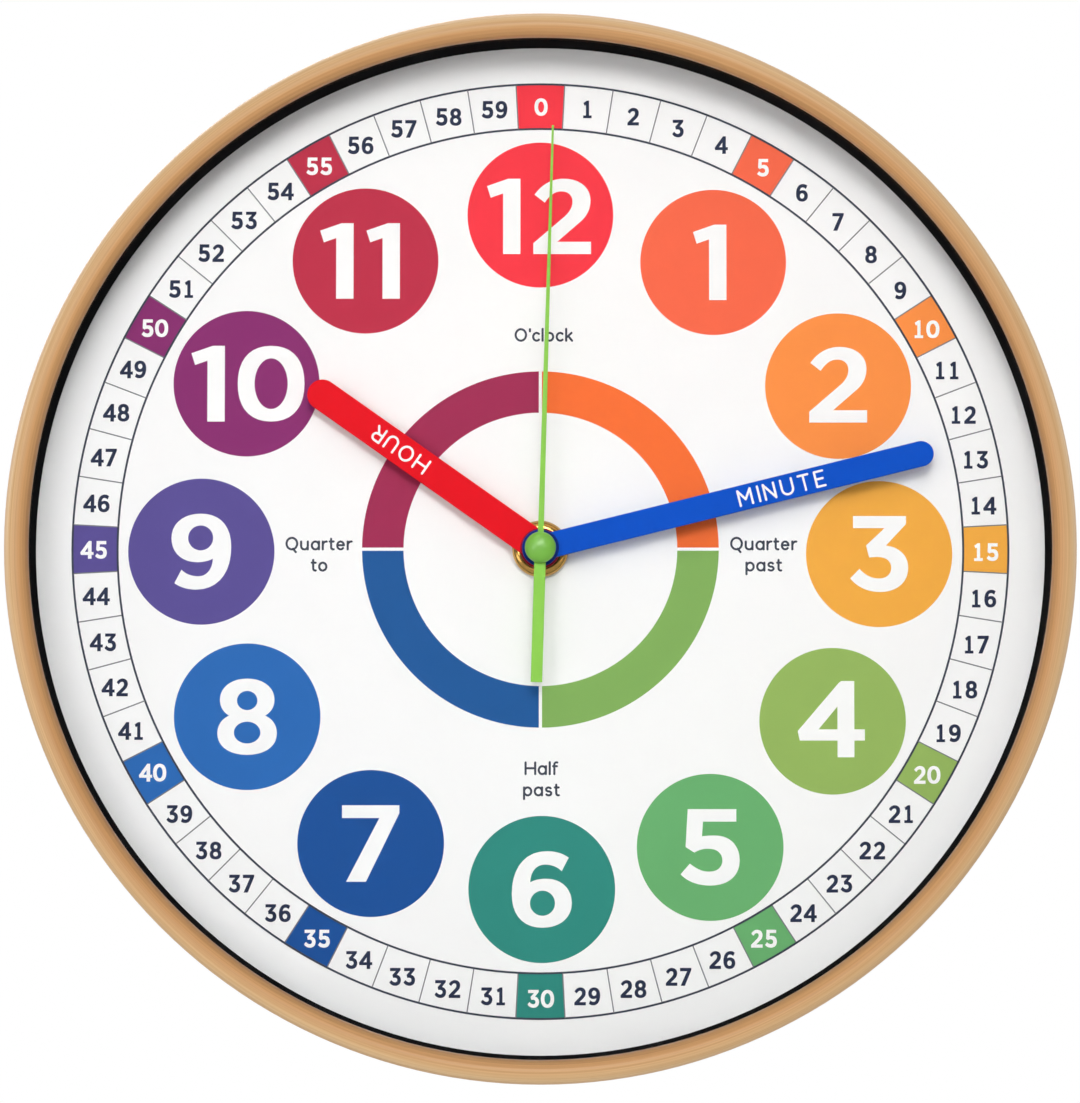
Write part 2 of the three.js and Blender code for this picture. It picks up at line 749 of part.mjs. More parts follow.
const wheelAt = (step) => [layer[step], layer[step] + wheelThick];
const pinionAt = (step) => [layer[step] - layerGap / 2, layer[step] + wheelThick + layerGap / 2];
const shoulderBack = bossTop + fitGap;
const shoulderFront = bridgeBack - fitGap;

function rotorPinion() {
  return arbor(arborRadius, shoulderBack, shoulderFront, bridgeFront)
    .add(teeth(rotorLeaves, rotorModule, ...pinionAt(0)));
}

function rotorMagnet() {
  const middle = (statorBack + statorFront) / 2;
  return tube(magnetRadius, arborRadius + fitGap, middle - magnetThick / 2,
    middle + magnetThick / 2, hubSides);
}

function intermediateWheel() {
  return teeth(intermediateTeeth, rotorModule, ...wheelAt(0))
    .add(teeth(intermediateLeaves, secondModule, layer[0], pinionAt(1)[1]))
    .add(arbor(arborRadius, shoulderBack, shoulderFront, bridgeFront));
}

function secondWheel() {
  const disc = teeth(secondTeeth, secondModule, ...wheelAt(1));
  return lightened(disc, secondTeeth, secondModule, ...wheelAt(1))
    .add(teeth(secondLeaves, thirdModule, layer[1], pinionAt(2)[1]))
    .add(arbor(arborRadius, shoulderBack, capBack + capSocket - layerGap, floorPivot + bossHeight));
}

function thirdWheel() {
  const disc = teeth(thirdTeeth, thirdModule, ...wheelAt(2));
  return lightened(disc, thirdTeeth, thirdModule, ...wheelAt(2))
    .add(teeth(thirdLeaves, centreModule, layer[2], pinionAt(3)[1]))
    .add(arbor(arborRadius, shoulderBack, shoulderFront, bridgeFront));
}

function centreWheel() {
  const disc = teeth(centreTeeth, centreModule, ...wheelAt(3));
  return lightened(disc, centreTeeth, centreModule, ...wheelAt(3))
    .subtract(bore(cannonRadius + runGap, layer[3] - overrun, bridgeBack));
}

addPart('rotor_pinion', rotorPinion(), 'acetal', rotorAt, rotorTurn);
addPart('rotor_magnet', rotorMagnet(), 'magnet', rotorAt, rotorTurn);
addPart('intermediate_wheel', intermediateWheel(), 'redAcetal', intermediateAt, intermediateTurn);
addPart('second_wheel', secondWheel(), 'acetal', hub, secondTurn);
addPart('third_wheel', thirdWheel(), 'redAcetal', thirdAt, thirdTurn);
addPart('centre_wheel', centreWheel(), 'acetal', hub, centreTurn);

// Motion work: cannon pinion, reduction wheel, hour wheel and the setting stem

const cannonTurn = 0;
const reductionTurn = meshTurn(hub, cannonLeaves, cannonTurn, reductionAt, reductionTeeth);
const hourTurn = meshTurn(reductionAt, reductionLeaves, reductionTurn, hub, hourTeeth);
const knobTurn = meshTurn(reductionAt, reductionTeeth, reductionTurn, knobAt, knobLeaves);
const motionFront = motionLayer + motionThick;

function cannonPinion() {
  const back = layer[3] - layerGap / 2;
  return rod(cannonRadius, back, cannonFront)
    .add(teeth(cannonLeaves, motionModule, motionLayer, motionFront))
    .subtract(bore(arborRadius + runGap, back - overrun, cannonFront + overrun));
}

function reductionWheel() {
  const leavesFront = hourLayer + motionThick + layerGap / 2;
  const frontShoulder = plateBack - bossHeight - fitGap;
  return teeth(reductionTeeth, motionModule, motionLayer, motionFront)
    .add(teeth(reductionLeaves, hourModule, motionLayer, leavesFront))
    .add(rod(arborRadius, bridgeFront + fitGap, frontShoulder, pinSides))
    .add(rod(pivotRadius, bridgeBack, plateBack - fitGap, pinSides));
}

function hourWheel() {
  return teeth(hourTeeth, hourModule, hourLayer, hourLayer + motionThick)
    .add(rod(hourPipeRadius, hourLayer, hourPipeFront))
    .subtract(bore(cannonRadius + runGap, hourLayer - overrun, hourPipeFront + overrun));
}

function settingStem() {
  const stemFront = plateBack - bossHeight - fitGap;
  return rod(stemRadius, knobBack + knobThick / 2, stemFront)
    .add(teeth(knobLeaves, motionModule, motionLayer, motionFront))
    .add(rod(pivotRadius, stemFront, plateBack - fitGap, pinSides));
}

function settingKnob() {
  const outline = Array.from({ length: 2 * knobFlutes }, (unused, k) => {
    const radius = k % 2 === 0 ? knobRadius : knobRadius - knobFluteDepth;
    return along(hub, k * 180 / knobFlutes, radius);
  });
  return prism(new THREE.Shape(outline), knobBack, knobBack + knobThick)
    .subtract(bore(stemRadius + fitGap, knobBack + knobThick / 2 - fitGap,
      knobBack + knobThick + overrun));
}

addPart('cannon_pinion', cannonPinion(), 'acetal', hub, cannonTurn);
addPart('reduction_wheel', reductionWheel(), 'acetal', reductionAt, reductionTurn);
addPart('hour_wheel', hourWheel(), 'acetal', hub, hourTurn);
addPart('setting_stem', settingStem(), 'acetal', knobAt, knobTurn);
addPart('setting_knob', settingKnob(), 'acetal', knobAt, knobTurn);

// Stepping motor

function stator() {
  const holeRadius = magnetRadius + rotorAirGap;
  const cut = [statorBack - overrun, statorFront + overrun];
  const right = coilX + statorArm / 2;
  const armLeft = rotorAt.x + fitGap;
  const plate = joined([
    placed(rod(holeRadius + statorRim, statorBack, statorFront, hubSides), rotorAt),
    block(rotorAt.x, right, coreHigh - statorArm, coreHigh, statorBack, statorFront),
    block(armLeft, armLeft + statorArm, coreLow, rotorAt.y, statorBack, statorFront),
    block(armLeft, right, coreLow, coreLow + statorArm, statorBack, statorFront),
  ]);
  const notch = rod(statorNotch, ...cut, pinSides);
  const notches = [0, 180].map((angle) => placed(notch, along(rotorAt, angle + statorNotchAngle, holeRadius)));
  return notches.reduce((whole, hole) => whole.subtract(hole),
    plate.subtract(placed(bore(holeRadius, ...cut, hubSides), rotorAt)));
}

// The coil lies along Y beside the rotor.
function lyingAlongY(body) {
  return body.rotate([-90, 0, 0]).translate([coilX, 0, coilZ]);
}

function coilBobbin() {
  const flange = (from) => rod(coilRadius + flangeLip, from, from + bobbinFlange, hubSides / 2);
  const spool = joined([
    flange(coilLow),
    rod(barrelRadius, coilLow, coilHigh),
    flange(coilHigh - bobbinFlange),
  ]);
  const slot = block(-coreWidth / 2 - fitGap, coreWidth / 2 + fitGap,
    -coreThick / 2 - fitGap, coreThick / 2 + fitGap, coilLow - overrun, coilHigh + overrun);
  return lyingAlongY(spool.subtract(slot));
}

function coilWinding() {
  return lyingAlongY(tube(coilRadius, barrelRadius + fitGap,
    coilLow + bobbinFlange + fitGap, coilHigh - bobbinFlange - fitGap, hubSides / 2));
}

addPart('stator', stator(), 'steel');
addPart('coil_core', block(coilX - coreWidth / 2, coilX + coreWidth / 2, coreLow, coreHigh,
  coreBack, coreBack + coreThick), 'steel');
addPart('coil_bobbin', coilBobbin(), 'acetal');
addPart('coil_winding', coilWinding(), 'copper');

// Circuit board, contacts and cell

function quartzCrystal() {
  const can = rod(crystalRadius, 0, crystalLength, pinSides).rotate([0, 90, 0]);
  return can.translate([-boardWidth / 4, (boardTop + boardBottom) / 2,
    boardFront + fitGap + crystalRadius]);
}

function controlChip() {
  const dome = Array.from({ length: domeSteps }, (unused, step) => {
    const angle = Math.PI / 2 * step / domeSteps;
    return [chipRadius * Math.cos(angle), chipHeight * Math.sin(angle)];
  });
  return turned([[0, 0], ...dome, [0, chipHeight]], smallSides)
    .translate([-boardWidth / 4 + crystalLength + 2 * chipRadius, (boardTop + boardBottom) / 2,
      boardFront + fitGap]);
}

// A strip along the side wall, with a foot on the board and a bump on the cell's end
function contact(side, bumpReach) {
  const strip = block(contactX, contactX + contactThick, cellY - contactBump,
    boardBottom + contactWidth, contactBack, contactBack + contactWidth);
  const foot = block(contactX - contactWidth, contactX + contactThick, boardBottom + fitGap,
    boardBottom + contactWidth, contactBack - contactThick, contactBack + contactThick);
  const bump = turned([
    [0, 0], [contactBump, 0], [contactBump / 2, bumpReach], [0, bumpReach],
  ], pinSides).rotate([0, -90, 0]).translate([contactX + fitGap, cellY, cellZ]);
  const pad = block(contactX, contactX + contactThick, cellY - contactBump, cellY + contactBump,
    cellZ - contactBump, cellZ + contactBump);
  const right = joined([strip, foot, bump, pad]);
  return side > 0 ? right : right.mirror([1, 0, 0]);
}

function batteryCell() {
  const half = cellLength / 2;
  const shoulder = half - cellNubLength;
  const rim = cellNubLength / 2;
  const cell = turned([
    [0, -half],
    [cellDiameter / 2 - rim, -half],
    [cellDiameter / 2, -half + rim],
    [cellDiameter / 2, shoulder - rim],
    [cellDiameter / 2 - rim, shoulder],
    [cellNubDiameter / 2, shoulder],
    [cellNubDiameter / 2, half],
    [0, half],
  ], hubSides);
  return cell.rotate([0, 90, 0]).translate([0, cellY, cellZ]);
}

const cellEndGap = contactX - cellLength / 2;
addPart('circuit_board', block(-boardWidth / 2, boardWidth / 2, boardBottom, boardTop,
  boardBack, boardFront), 'board');
addPart('quartz_crystal', quartzCrystal(), 'steel');
addPart('control_chip', controlChip(), 'rubber');
addPart('contact_positive', contact(1, cellEndGap), 'steel');
addPart('contact_negative', contact(-1, cellEndGap), 'steel');
addPart('battery_cell', batteryCell(), 'cellWrap');

// Hands, drawn at twelve o'clock and turned to the time shown

function strapHand(length, width, thick, bossRadius, pipeRadius, bossBack) {
  const back = bossBack + (handBossHeight - thick) / 2;
  const half = width / 2;
  const strap = new THREE.Shape();
  strap.moveTo(-half, 0);
  strap.lineTo(half, 0);
  strap.absarc(0, length - half, half, 0, Math.PI);
  strap.closePath();
  const bossFront = bossBack + handBossHeight;
  return prism(strap, back, back + thick)
    .add(rod(bossRadius, bossBack, bossFront, hubSides))
    .subtract(bore(pipeRadius + fitGap / 2, bossBack - overrun, bossFront + overrun));
}

function secondHand() {
  const middle = secondHubBack + secondHubThick / 2;
  const needle = new THREE.Shape([
    new THREE.Vector2(-needleWidth / 2, 0),
    new THREE.Vector2(needleWidth / 2, 0),
    new THREE.Vector2(needleTipWidth / 2, needleLength),
    new THREE.Vector2(-needleTipWidth / 2, needleLength),
  ]);
  const blade = [middle - needleThick / 2, middle + needleThick / 2];
  return prism(needle, ...blade)
    .add(block(-tailWidth / 2, tailWidth / 2, -tailLength, 0, ...blade))
    .add(rod(secondHubRadius, secondHubBack, secondHubBack + secondHubThick))
    .subtract(bore(arborRadius + fitGap / 2, secondHubBack - overrun,
      secondHubBack + secondHubThick + overrun));
}

function secondHandCap() {
  const socketRadius = arborRadius + fitGap / 2;
  const domeBase = capBack + capEdge;
  const dome = Array.from({ length: domeSteps }, (unused, step) => {
    const angle = Math.PI / 2 * step / domeSteps;
    return [
      capRadius * Math.cos(angle),
      domeBase + (capHeight - capEdge) * Math.sin(angle),
    ];
  });
  return turned([
    [0, capBack + capSocket],
    [socketRadius / Math.cos(Math.PI / hubSides), capBack + capSocket],
    [socketRadius / Math.cos(Math.PI / hubSides), capBack],
    [capRadius - capEdge / 2, capBack],
    ...dome,
    [0, capFront],
  ], hubSides);
}

const clockwise = (degrees) => -THREE.MathUtils.degToRad(degrees);
addPart('hour_hand', strapHand(hourHandLength, hourHandWidth, hourHandThick, hourBossRadius,
  hourPipeRadius, hourBossBack), 'redPaint', hub, clockwise(hourHandAngle));
addPart('minute_hand', strapHand(minuteHandLength, minuteHandWidth, minuteHandThick,
  minuteBossRadius, cannonRadius, minuteBossBack), 'bluePaint', hub, clockwise(minuteHandAngle));
addPart('second_hand', secondHand(), 'greenPlastic', hub, clockwise(secondHandAngle));
addPart('second_hand_cap', secondHandCap(), 'greenPlastic', hub, clockwise(secondHandAngle));

// Stood up against the wall, with the origin at the hanging screw
clock.rotation.x = Math.PI / 2;
clock.position.z = -hookHeight;

const assembly = new THREE.Group();
assembly.add(clock);

export default assembly;
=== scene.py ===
# %% [markdown]
# Dressing a teaching clock
#
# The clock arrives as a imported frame: every piece at its real size, riding on the body that it
# turns with. This lesson gives each visible piece its finished mesh and surface. Blender works in
# metres here, so a small unit value keeps every size readable in millimetres.

# %% Load the frame
import json
from math import asin, cos, degrees, pi, radians, sin, tan

import bmesh
import bpy
from mathutils import Matrix, Vector
from mathutils.geometry import delaunay_2d_cdt, interpolate_bezier


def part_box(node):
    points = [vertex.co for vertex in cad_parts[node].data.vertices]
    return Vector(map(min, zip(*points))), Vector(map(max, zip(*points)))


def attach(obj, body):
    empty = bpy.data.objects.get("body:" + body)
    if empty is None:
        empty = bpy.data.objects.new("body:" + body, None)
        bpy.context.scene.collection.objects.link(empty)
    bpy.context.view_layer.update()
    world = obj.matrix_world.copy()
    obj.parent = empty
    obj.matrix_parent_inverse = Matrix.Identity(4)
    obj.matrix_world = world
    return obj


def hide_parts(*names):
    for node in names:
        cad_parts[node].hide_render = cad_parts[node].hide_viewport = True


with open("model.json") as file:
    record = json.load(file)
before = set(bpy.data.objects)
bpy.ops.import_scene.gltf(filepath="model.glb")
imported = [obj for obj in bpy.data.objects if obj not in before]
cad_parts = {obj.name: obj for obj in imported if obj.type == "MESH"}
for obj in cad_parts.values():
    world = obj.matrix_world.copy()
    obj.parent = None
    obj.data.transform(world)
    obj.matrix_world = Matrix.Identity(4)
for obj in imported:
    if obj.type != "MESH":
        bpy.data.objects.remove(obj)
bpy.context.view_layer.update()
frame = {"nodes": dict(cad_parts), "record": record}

mm = 0.001

# %% [markdown]
# Everything on this clock is laid out round one axis, the arbor of the hands, which points at the
# reader along -Y. So places are given as a distance to the right of the axis, a distance up from
# it, and a depth in front of the wall. Depths and radii are measured on the frame's own pieces,
# which keeps the finished meshes inside them.

# %% The hub, depths and radii
nut_low, nut_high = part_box("brass_nut")
hub_x = (nut_low.x + nut_high.x) / 2
hub_z = (nut_low.z + nut_high.z) / 2


def depths(node):
    low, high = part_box(node)
    return -high.y, -low.y


def radius(node):
    low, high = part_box(node)
    return min(high.x - low.x, high.z - low.z) / 2


def spot(right, up, depth):
    return Vector((hub_x + right, -depth, hub_z + up))


hoop_back, hoop_front = depths("front_frame")
hoop_radius = radius("front_frame")
pack_radius = radius("lens")
lens_back, lens_front = depths("lens")
dial_back, dial_face = depths("dial")
print("hub", round(hub_x / mm, 2), round(hub_z / mm, 2), "hoop radius", round(hoop_radius / mm, 2))

# %% [markdown]
# Every finished piece takes the same four steps: make an object from a mesh, give it its
# materials, let it ride on a body, and hide the frame node that it stands for. One function does
# them, so that no piece is left behind when the hands turn. Its weighted normals let a large flat
# face keep its own direction beside a small rounded edge. Without them a lens would really bend
# the picture.

# %% From mesh to piece
def mesh_from(name, bm):
    mesh = bpy.data.meshes.new(name)
    bm.to_mesh(mesh)
    bm.free()
    return mesh


def put(name, data):
    made = bpy.data.objects.new(name, data)
    bpy.context.scene.collection.objects.link(made)
    return made


def piece(name, bm, body, looks, stands_for=(), crease=35):
    bmesh.ops.recalc_face_normals(bm, faces=bm.faces)
    mesh = mesh_from(name, bm)
    mesh.shade_smooth()
    mesh.set_sharp_from_angle(angle=radians(crease))
    for look in looks:
        mesh.materials.append(look)
    made = put(name, mesh)
    made.modifiers.new("flat_faces_stay_flat", "WEIGHTED_NORMAL").keep_sharp = True
    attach(made, body)
    if stands_for:
        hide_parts(*stands_for)
    print(name, "on", body, "with", len(mesh.polygons), "faces")
    return made


# %% [markdown]
# Turned and moulded round pieces are drawn as half a cross-section and spun about the axis, just
# as a lathe would do it. No real edge is perfectly sharp, so a corner may carry a radius of its
# own, and a short curve takes its place. Light catches that curve, which is what makes an edge
# look made.

# %% A lathe with softened corners
spin_steps = 192
corner_steps = 5


def softened(corners, closed=True):
    outline = []
    count = len(corners)
    for k, corner in enumerate(corners):
        here = Vector(corner[:2])
        soft = corner[2] if len(corner) > 2 else 0
        if not soft or (not closed and k in (0, count - 1)):
            outline.append(here)
            continue
        back = Vector(corners[k - 1][:2]) - here
        ahead = Vector(corners[(k + 1) % count][:2]) - here
        reach = soft / tan(back.angle(ahead) / 2)
        start, end = here + back.normalized() * reach, here + ahead.normalized() * reach
        for step in range(corner_steps + 1):
            t = step / corner_steps
            outline.append(start * (1 - t) ** 2 + here * 2 * t * (1 - t) + end * t ** 2)
    return outline


def spin(bm, outline, closed=True, steps=spin_steps, right=0, up=0, look=0):
    columns = []
    for r, depth in outline:
        if r < mm / 1000:
            columns.append([bm.verts.new(spot(right, up, depth))] * steps)
            continue
        circle = [(r * sin(2 * pi * k / steps), r * cos(2 * pi * k / steps)) for k in range(steps)]
        columns.append([bm.verts.new(spot(right + x, up + y, depth)) for x, y in circle])
    for inner, outer in zip(columns, columns[1:] + (columns[:1] if closed else [])):
        for k in range(steps):
            around = [inner[k], inner[(k + 1) % steps], outer[(k + 1) % steps], outer[k]]
            corners = list(dict.fromkeys(around))
            if len(corners) > 2:
                bm.faces.new(corners).material_index = look


def lathed(outline, **options):
    bm = bmesh.new()
    spin(bm, outline, **options)
    return bm


soft_square = [(0, 0, 0.1), (1, 0, 0.1), (1, 1, 0.1), (0, 1, 0.1)]
print("a square with four soft corners has", len(softened(soft_square)), "points")

# %% [markdown]
# Print, lettering and the flat hands all start as flat shapes. Several outlines can overlap, and
# some cut holes in the others, so they are first merged into one set of triangles in the plane.
# The set is called a stamp here. Pressing a stamp gives it a real thickness with walls all round,
# so each ink is a very thin solid that lies on its sheet.

# %% Stamps and presses
def area_of(outline):
    turned = list(outline[1:]) + list(outline[:1])
    return sum(a[0] * b[1] - b[0] * a[1] for a, b in zip(outline, turned)) / 2


def stamp(inks, holes=()):
    points, faces = [], []
    for outline in [*inks, *holes]:
        ordered = list(outline) if area_of(outline) > 0 else list(reversed(outline))
        faces.append(list(range(len(points), len(points) + len(ordered))))
        points += [Vector(point) for point in ordered]
    found = delaunay_2d_cdt(points, [], faces, 1, 1e-7)
    flat, triangles, sources = found[0], found[2], found[5]
    kept = [triangle for triangle, source in zip(triangles, sources)
            if max(source, default=len(inks)) < len(inks)]
    return flat, kept


def press(bm, shape, at, size, depth, thick, turn=0.0, look=0, squeeze=1.0):
    flat, triangles = shape
    c, s = cos(turn), sin(turn)

    def placed(point, level):
        x, y = point[0] * size * squeeze, point[1] * size
        return spot(at[0] + x * c - y * s, at[1] + x * s + y * c, level)

    used = sorted({corner for triangle in triangles for corner in triangle})
    under = {k: bm.verts.new(placed(flat[k], depth)) for k in used}
    over = {k: bm.verts.new(placed(flat[k], depth + thick)) for k in used}
    edges = {(t[k], t[(k + 1) % 3]) for t in triangles for k in range(3)}
    for a, b, d in triangles:
        bm.faces.new((over[a], over[b], over[d])).material_index = look
        bm.faces.new((under[d], under[b], under[a])).material_index = look
    for a, b in edges:
        if (b, a) not in edges:
            bm.faces.new((over[b], over[a], under[a], under[b])).material_index = look


def bow(cx, cy, rx, ry, start, end, steps=14):
    return [(cx + rx * cos(radians(start + (end - start) * k / steps)),
             cy + ry * sin(radians(start + (end - start) * k / steps))) for k in range(steps + 1)]


def oval(cx, cy, rx, ry, steps=48):
    return bow(cx, cy, rx, ry, 0, 360, steps)[:-1]


def sector(inner, outer, start, end, gap=0.0, steps=40):
    """A piece of a ring between two clock angles in degrees, with parallel gaps at its ends."""
    def arc(r, first, last):
        trim = degrees(asin(gap / 2 / r))
        first, last = (first + trim, last - trim) if last > first else (first - trim, last + trim)
        return [(r * sin(radians(first + (last - first) * k / steps)),
                 r * cos(radians(first + (last - first) * k / steps))) for k in range(steps + 1)]
    return arc(outer, start, end) + arc(inner, end, start)


half_rings = [sector(1, 2, 0, 180), sector(1, 2, 180, 360)]
print("a ring of two halves has", len(stamp(half_rings)[1]), "triangles")

# %% [markdown]
# Materials are node trees. One function turns a hex colour, which is how colours are written for
# screens, into the linear values that Blender computes with. Another adds a node with its settings
# and fills its inputs, each with a value or a link, so a material reads from top to bottom like a
# recipe.

# %% Colours and nodes
def linear(hex_colour):
    channels = [int(hex_colour[k:k + 2], 16) / 255 for k in (0, 2, 4)]
    return (*[c / 12.92 if c <= 0.04045 else ((c + 0.055) / 1.055) ** 2.4 for c in channels], 1.0)


def fill(tree, node, inputs):
    for key, value in inputs.items():
        if isinstance(value, bpy.types.NodeSocket):
            tree.links.new(value, node.inputs[key])
        else:
            node.inputs[key].default_value = value
    return node


def add(tree, kind, inputs=None, **settings):
    node = tree.nodes.new(kind)
    for key, value in settings.items():
        setattr(node, key, value)
    return fill(tree, node, inputs or {})


def start_material(name, roughness, ior=1.5, metallic=0.0):
    material = bpy.data.materials.new(name)
    material.use_nodes = True
    tree = material.node_tree
    surface = fill(tree, tree.nodes["Principled BSDF"], {"Roughness": roughness, "Metallic": metallic})
    if not metallic:
        surface.inputs["IOR"].default_value = ior
    place = add(tree, "ShaderNodeTexCoord").outputs["Object"]
    return material, tree, surface, place


def show(tree, shader):
    fill(tree, tree.nodes["Material Output"], {"Surface": shader.outputs[0]})


print("the screen grey 808080 is", round(linear("808080")[0], 3), "in linear light")

# %% [markdown]
# Most surfaces here share a family: a pigment that is never perfectly even, and a skin with a very
# fine relief. The mottle is a slow noise that moves the colour a little lighter and darker, and the
# relief is a quick noise sent through a bump node. Both take their scale from a real size, the
# spacing of the mottle and of the grain.

# %% Pigmented surfaces
def pigmented(name, colour, roughness, ior=1.5, metallic=0.0, mottle=6 * mm, shift=0.04,
              grain=0.3 * mm, relief=0.01 * mm, spread=0.05, sheen=0.5):
    material, tree, surface, place = start_material(name, roughness, ior, metallic)
    slow = add(tree, "ShaderNodeTexNoise", {"Vector": place, "Scale": 1 / mottle, "Detail": 3.0})
    darker, lighter = ((*[min(1.0, c * (1 + step)) for c in linear(colour)[:3]], 1.0)
                       for step in (-shift, shift))
    mixed = add(tree, "ShaderNodeMix", {0: slow.outputs["Fac"], 6: darker, 7: lighter},
                data_type="RGBA")
    quick = add(tree, "ShaderNodeTexNoise", {"Vector": place, "Scale": 1 / grain, "Detail": 2.0})
    shine = add(tree, "ShaderNodeMapRange", {"Value": quick.outputs["Fac"],
                                             "To Min": roughness - spread,
                                             "To Max": roughness + spread})
    bump = add(tree, "ShaderNodeBump", {"Height": quick.outputs["Fac"], "Strength": 1.0,
                                        "Distance": relief})
    fill(tree, surface, {"Base Color": mixed.outputs[2], "Roughness": shine.outputs["Result"],
                         "Normal": bump.outputs["Normal"], "Specular IOR Level": sheen})
    return material


print("a mottle of 6 mm is a noise with a scale of", round(1 / (6 * mm)))

# %% [markdown]
# The camera stands where the photographer stood: straight in front, a little below the middle, and
# far enough back that the inner wall shows as a thin even ring. The focal length follows from how
# many millimetres of the clock's front fit in the picture's height.

# %% Camera
picture_height = 1103          # pixels of the photograph
picture_scale = 3.533 / mm     # pixels in a metre, at the front of the hoop
rim_right, rim_up = 0.4, 6.4   # pixels from the picture's centre to the hoop's centre
view_distance = 1.28
view_rise = -3.0               # degrees

aim = spot(-rim_right / picture_scale, -rim_up / picture_scale, hoop_front)


def toward(side, rise):
    """The direction that lies some degrees to the right of the clock's front, and some above."""
    side, rise = radians(side), radians(rise)
    return Vector((sin(side) * cos(rise), -cos(side) * cos(rise), sin(rise)))


def face_clock(made, direction, distance):
    made.location = aim + direction * distance
    made.rotation_mode = "QUATERNION"
    made.rotation_quaternion = (-direction).to_track_quat("-Z", "Y")


camera = put("camera", bpy.data.cameras.new("camera"))
face_clock(camera, toward(0, view_rise), view_distance)
camera.data.lens = camera.data.sensor_width * view_distance * picture_scale / picture_height
bpy.context.scene.camera = camera
print("focal length", round(camera.data.lens, 1), "mm")

# %% [markdown]
# The light is a plain studio's. A lamp above throws the hoop's soft shadow onto the top of the
# dial. Three more, left, right and below, fill it, each outside the angles that the flat lens could
# mirror into the camera. Four broad ones light the sides, the top and the back. The world adds an
# even surround. Rays from the camera and their mirror rays see it as white, until a matt surface
# scatters them. Without that gate the lens would pass the white on to the dial as extra light.

# %% World and lamps
# Each lamp: degrees to the right and up, metres away, metres across, watts.
for name, side, rise, distance, size, power in (
        ("top_lamp", 1, 20, 2.3, 0.5, 12.9),
        ("left_lamp", -25, 3, 1.4, 0.4, 2.5),
        ("right_lamp", 24, 3, 1.4, 0.4, 0.4),
        ("low_lamp", -4, -20, 1.4, 0.35, 0.4),
        ("west_lamp", -98, 10, 1.5, 0.8, 3.4),
        ("east_lamp", 98, 10, 1.5, 0.8, 2.6),
        ("sky_lamp", 180, 80, 1.5, 0.8, 4.0),
        ("back_lamp", 200, 30, 1.6, 1.2, 8)):
    light = bpy.data.lights.new(name, "AREA")
    light.shape = "DISK"
    light.size = size
    light.energy = power
    face_clock(put(name, light), toward(side, rise), distance)


def unscattered(tree, rays):
    """A gate that is 1 until the ray has been scattered by a matt surface."""
    return add(tree, "ShaderNodeMath", {0: rays.outputs["Diffuse Depth"], 1: 0.5},
               operation="LESS_THAN").outputs[0]


surround_strength = 0.22
world = bpy.data.worlds.new("studio")
bpy.context.scene.world = world
world.use_nodes = True
sky = world.node_tree
sky.nodes.clear()
rays = add(sky, "ShaderNodeLightPath")
seen = add(sky, "ShaderNodeMath", {0: rays.outputs["Is Camera Ray"], 1: rays.outputs["Is Glossy Ray"]},
           operation="MAXIMUM")
seen = add(sky, "ShaderNodeMath", {0: seen.outputs[0], 1: unscattered(sky, rays)},
           operation="MULTIPLY")
surround, white = (add(sky, "ShaderNodeBackground", {"Color": linear("FFFFFF"), "Strength": strength})
                   for strength in (surround_strength, 1.0))
both = add(sky, "ShaderNodeMixShader", {0: seen.outputs[0], 1: surround.outputs[0],
                                        2: white.outputs[0]})
add(sky, "ShaderNodeOutputWorld", {"Surface": both.outputs[0]})
bpy.context.scene.view_settings.view_transform = "Standard"
print("lamps:", len(bpy.data.lights))

# %% [markdown]
# The clock hangs in the air, because a wall would hide its back. A round pale floor lies well
# below it. Rays from the camera see the floor nearly white, while its plain white paint still
# takes the clock's faint shadow. A dark curtain stands behind the camera, as a photographer's black
# flag would, so that the lens has nothing bright to mirror. Two white cards stand low, left and
# right, and put bright marks on the brass. Only mirror rays see curtain and cards.

# %% Floor and curtain
floor_drop, floor_radius = 0.5, 3.4
floor_steps, floor_white = 96, 0.94
curtain_reach, curtain_half = 2.4, 1.9
card_reach, card_half, card_glow = 1.4, 0.42, 3.0


def staged(name, bm, look, mirrors_only=True):
    mesh = mesh_from(name, bm)
    mesh.materials.append(look)
    made = put(name, mesh)
    if mirrors_only:
        made.visible_camera = False
        made.visible_diffuse = False
        made.visible_shadow = False


floor_paint, tree, surface, place = start_material("matt white floor paint", 0.6)
fill(tree, surface, {"Base Color": linear("E8E8E6")})
rays = add(tree, "ShaderNodeLightPath")
glow = add(tree, "ShaderNodeEmission", {"Color": linear("FFFFFF"), "Strength": 1.0})
share = add(tree, "ShaderNodeMath", {0: rays.outputs["Is Camera Ray"], 1: floor_white},
            operation="MULTIPLY")
show(tree, add(tree, "ShaderNodeMixShader", {0: share.outputs[0], 1: surface.outputs[0],
                                             2: glow.outputs[0]}))
bm = bmesh.new()
bm.faces.new([bm.verts.new((x, y, hub_z - floor_drop))
              for x, y in oval(0, 0, floor_radius, floor_radius, floor_steps)])
staged("floor", bm, floor_paint, mirrors_only=False)

black_cloth, tree, surface, place = start_material("black flag cloth", 0.95)
fill(tree, surface, {"Base Color": linear("101010"), "Specular IOR Level": 0.0})
bm = bmesh.new()
poles = [toward(side, 0) * curtain_reach for side in range(-65, 66, 10)]
hems = [[bm.verts.new((pole.x, pole.y, hub_z + z)) for z in (-curtain_half, curtain_half)]
        for pole in poles]
for one, two in zip(hems, hems[1:]):
    bm.faces.new((one[0], two[0], two[1], one[1]))
staged("curtain", bm, black_cloth)

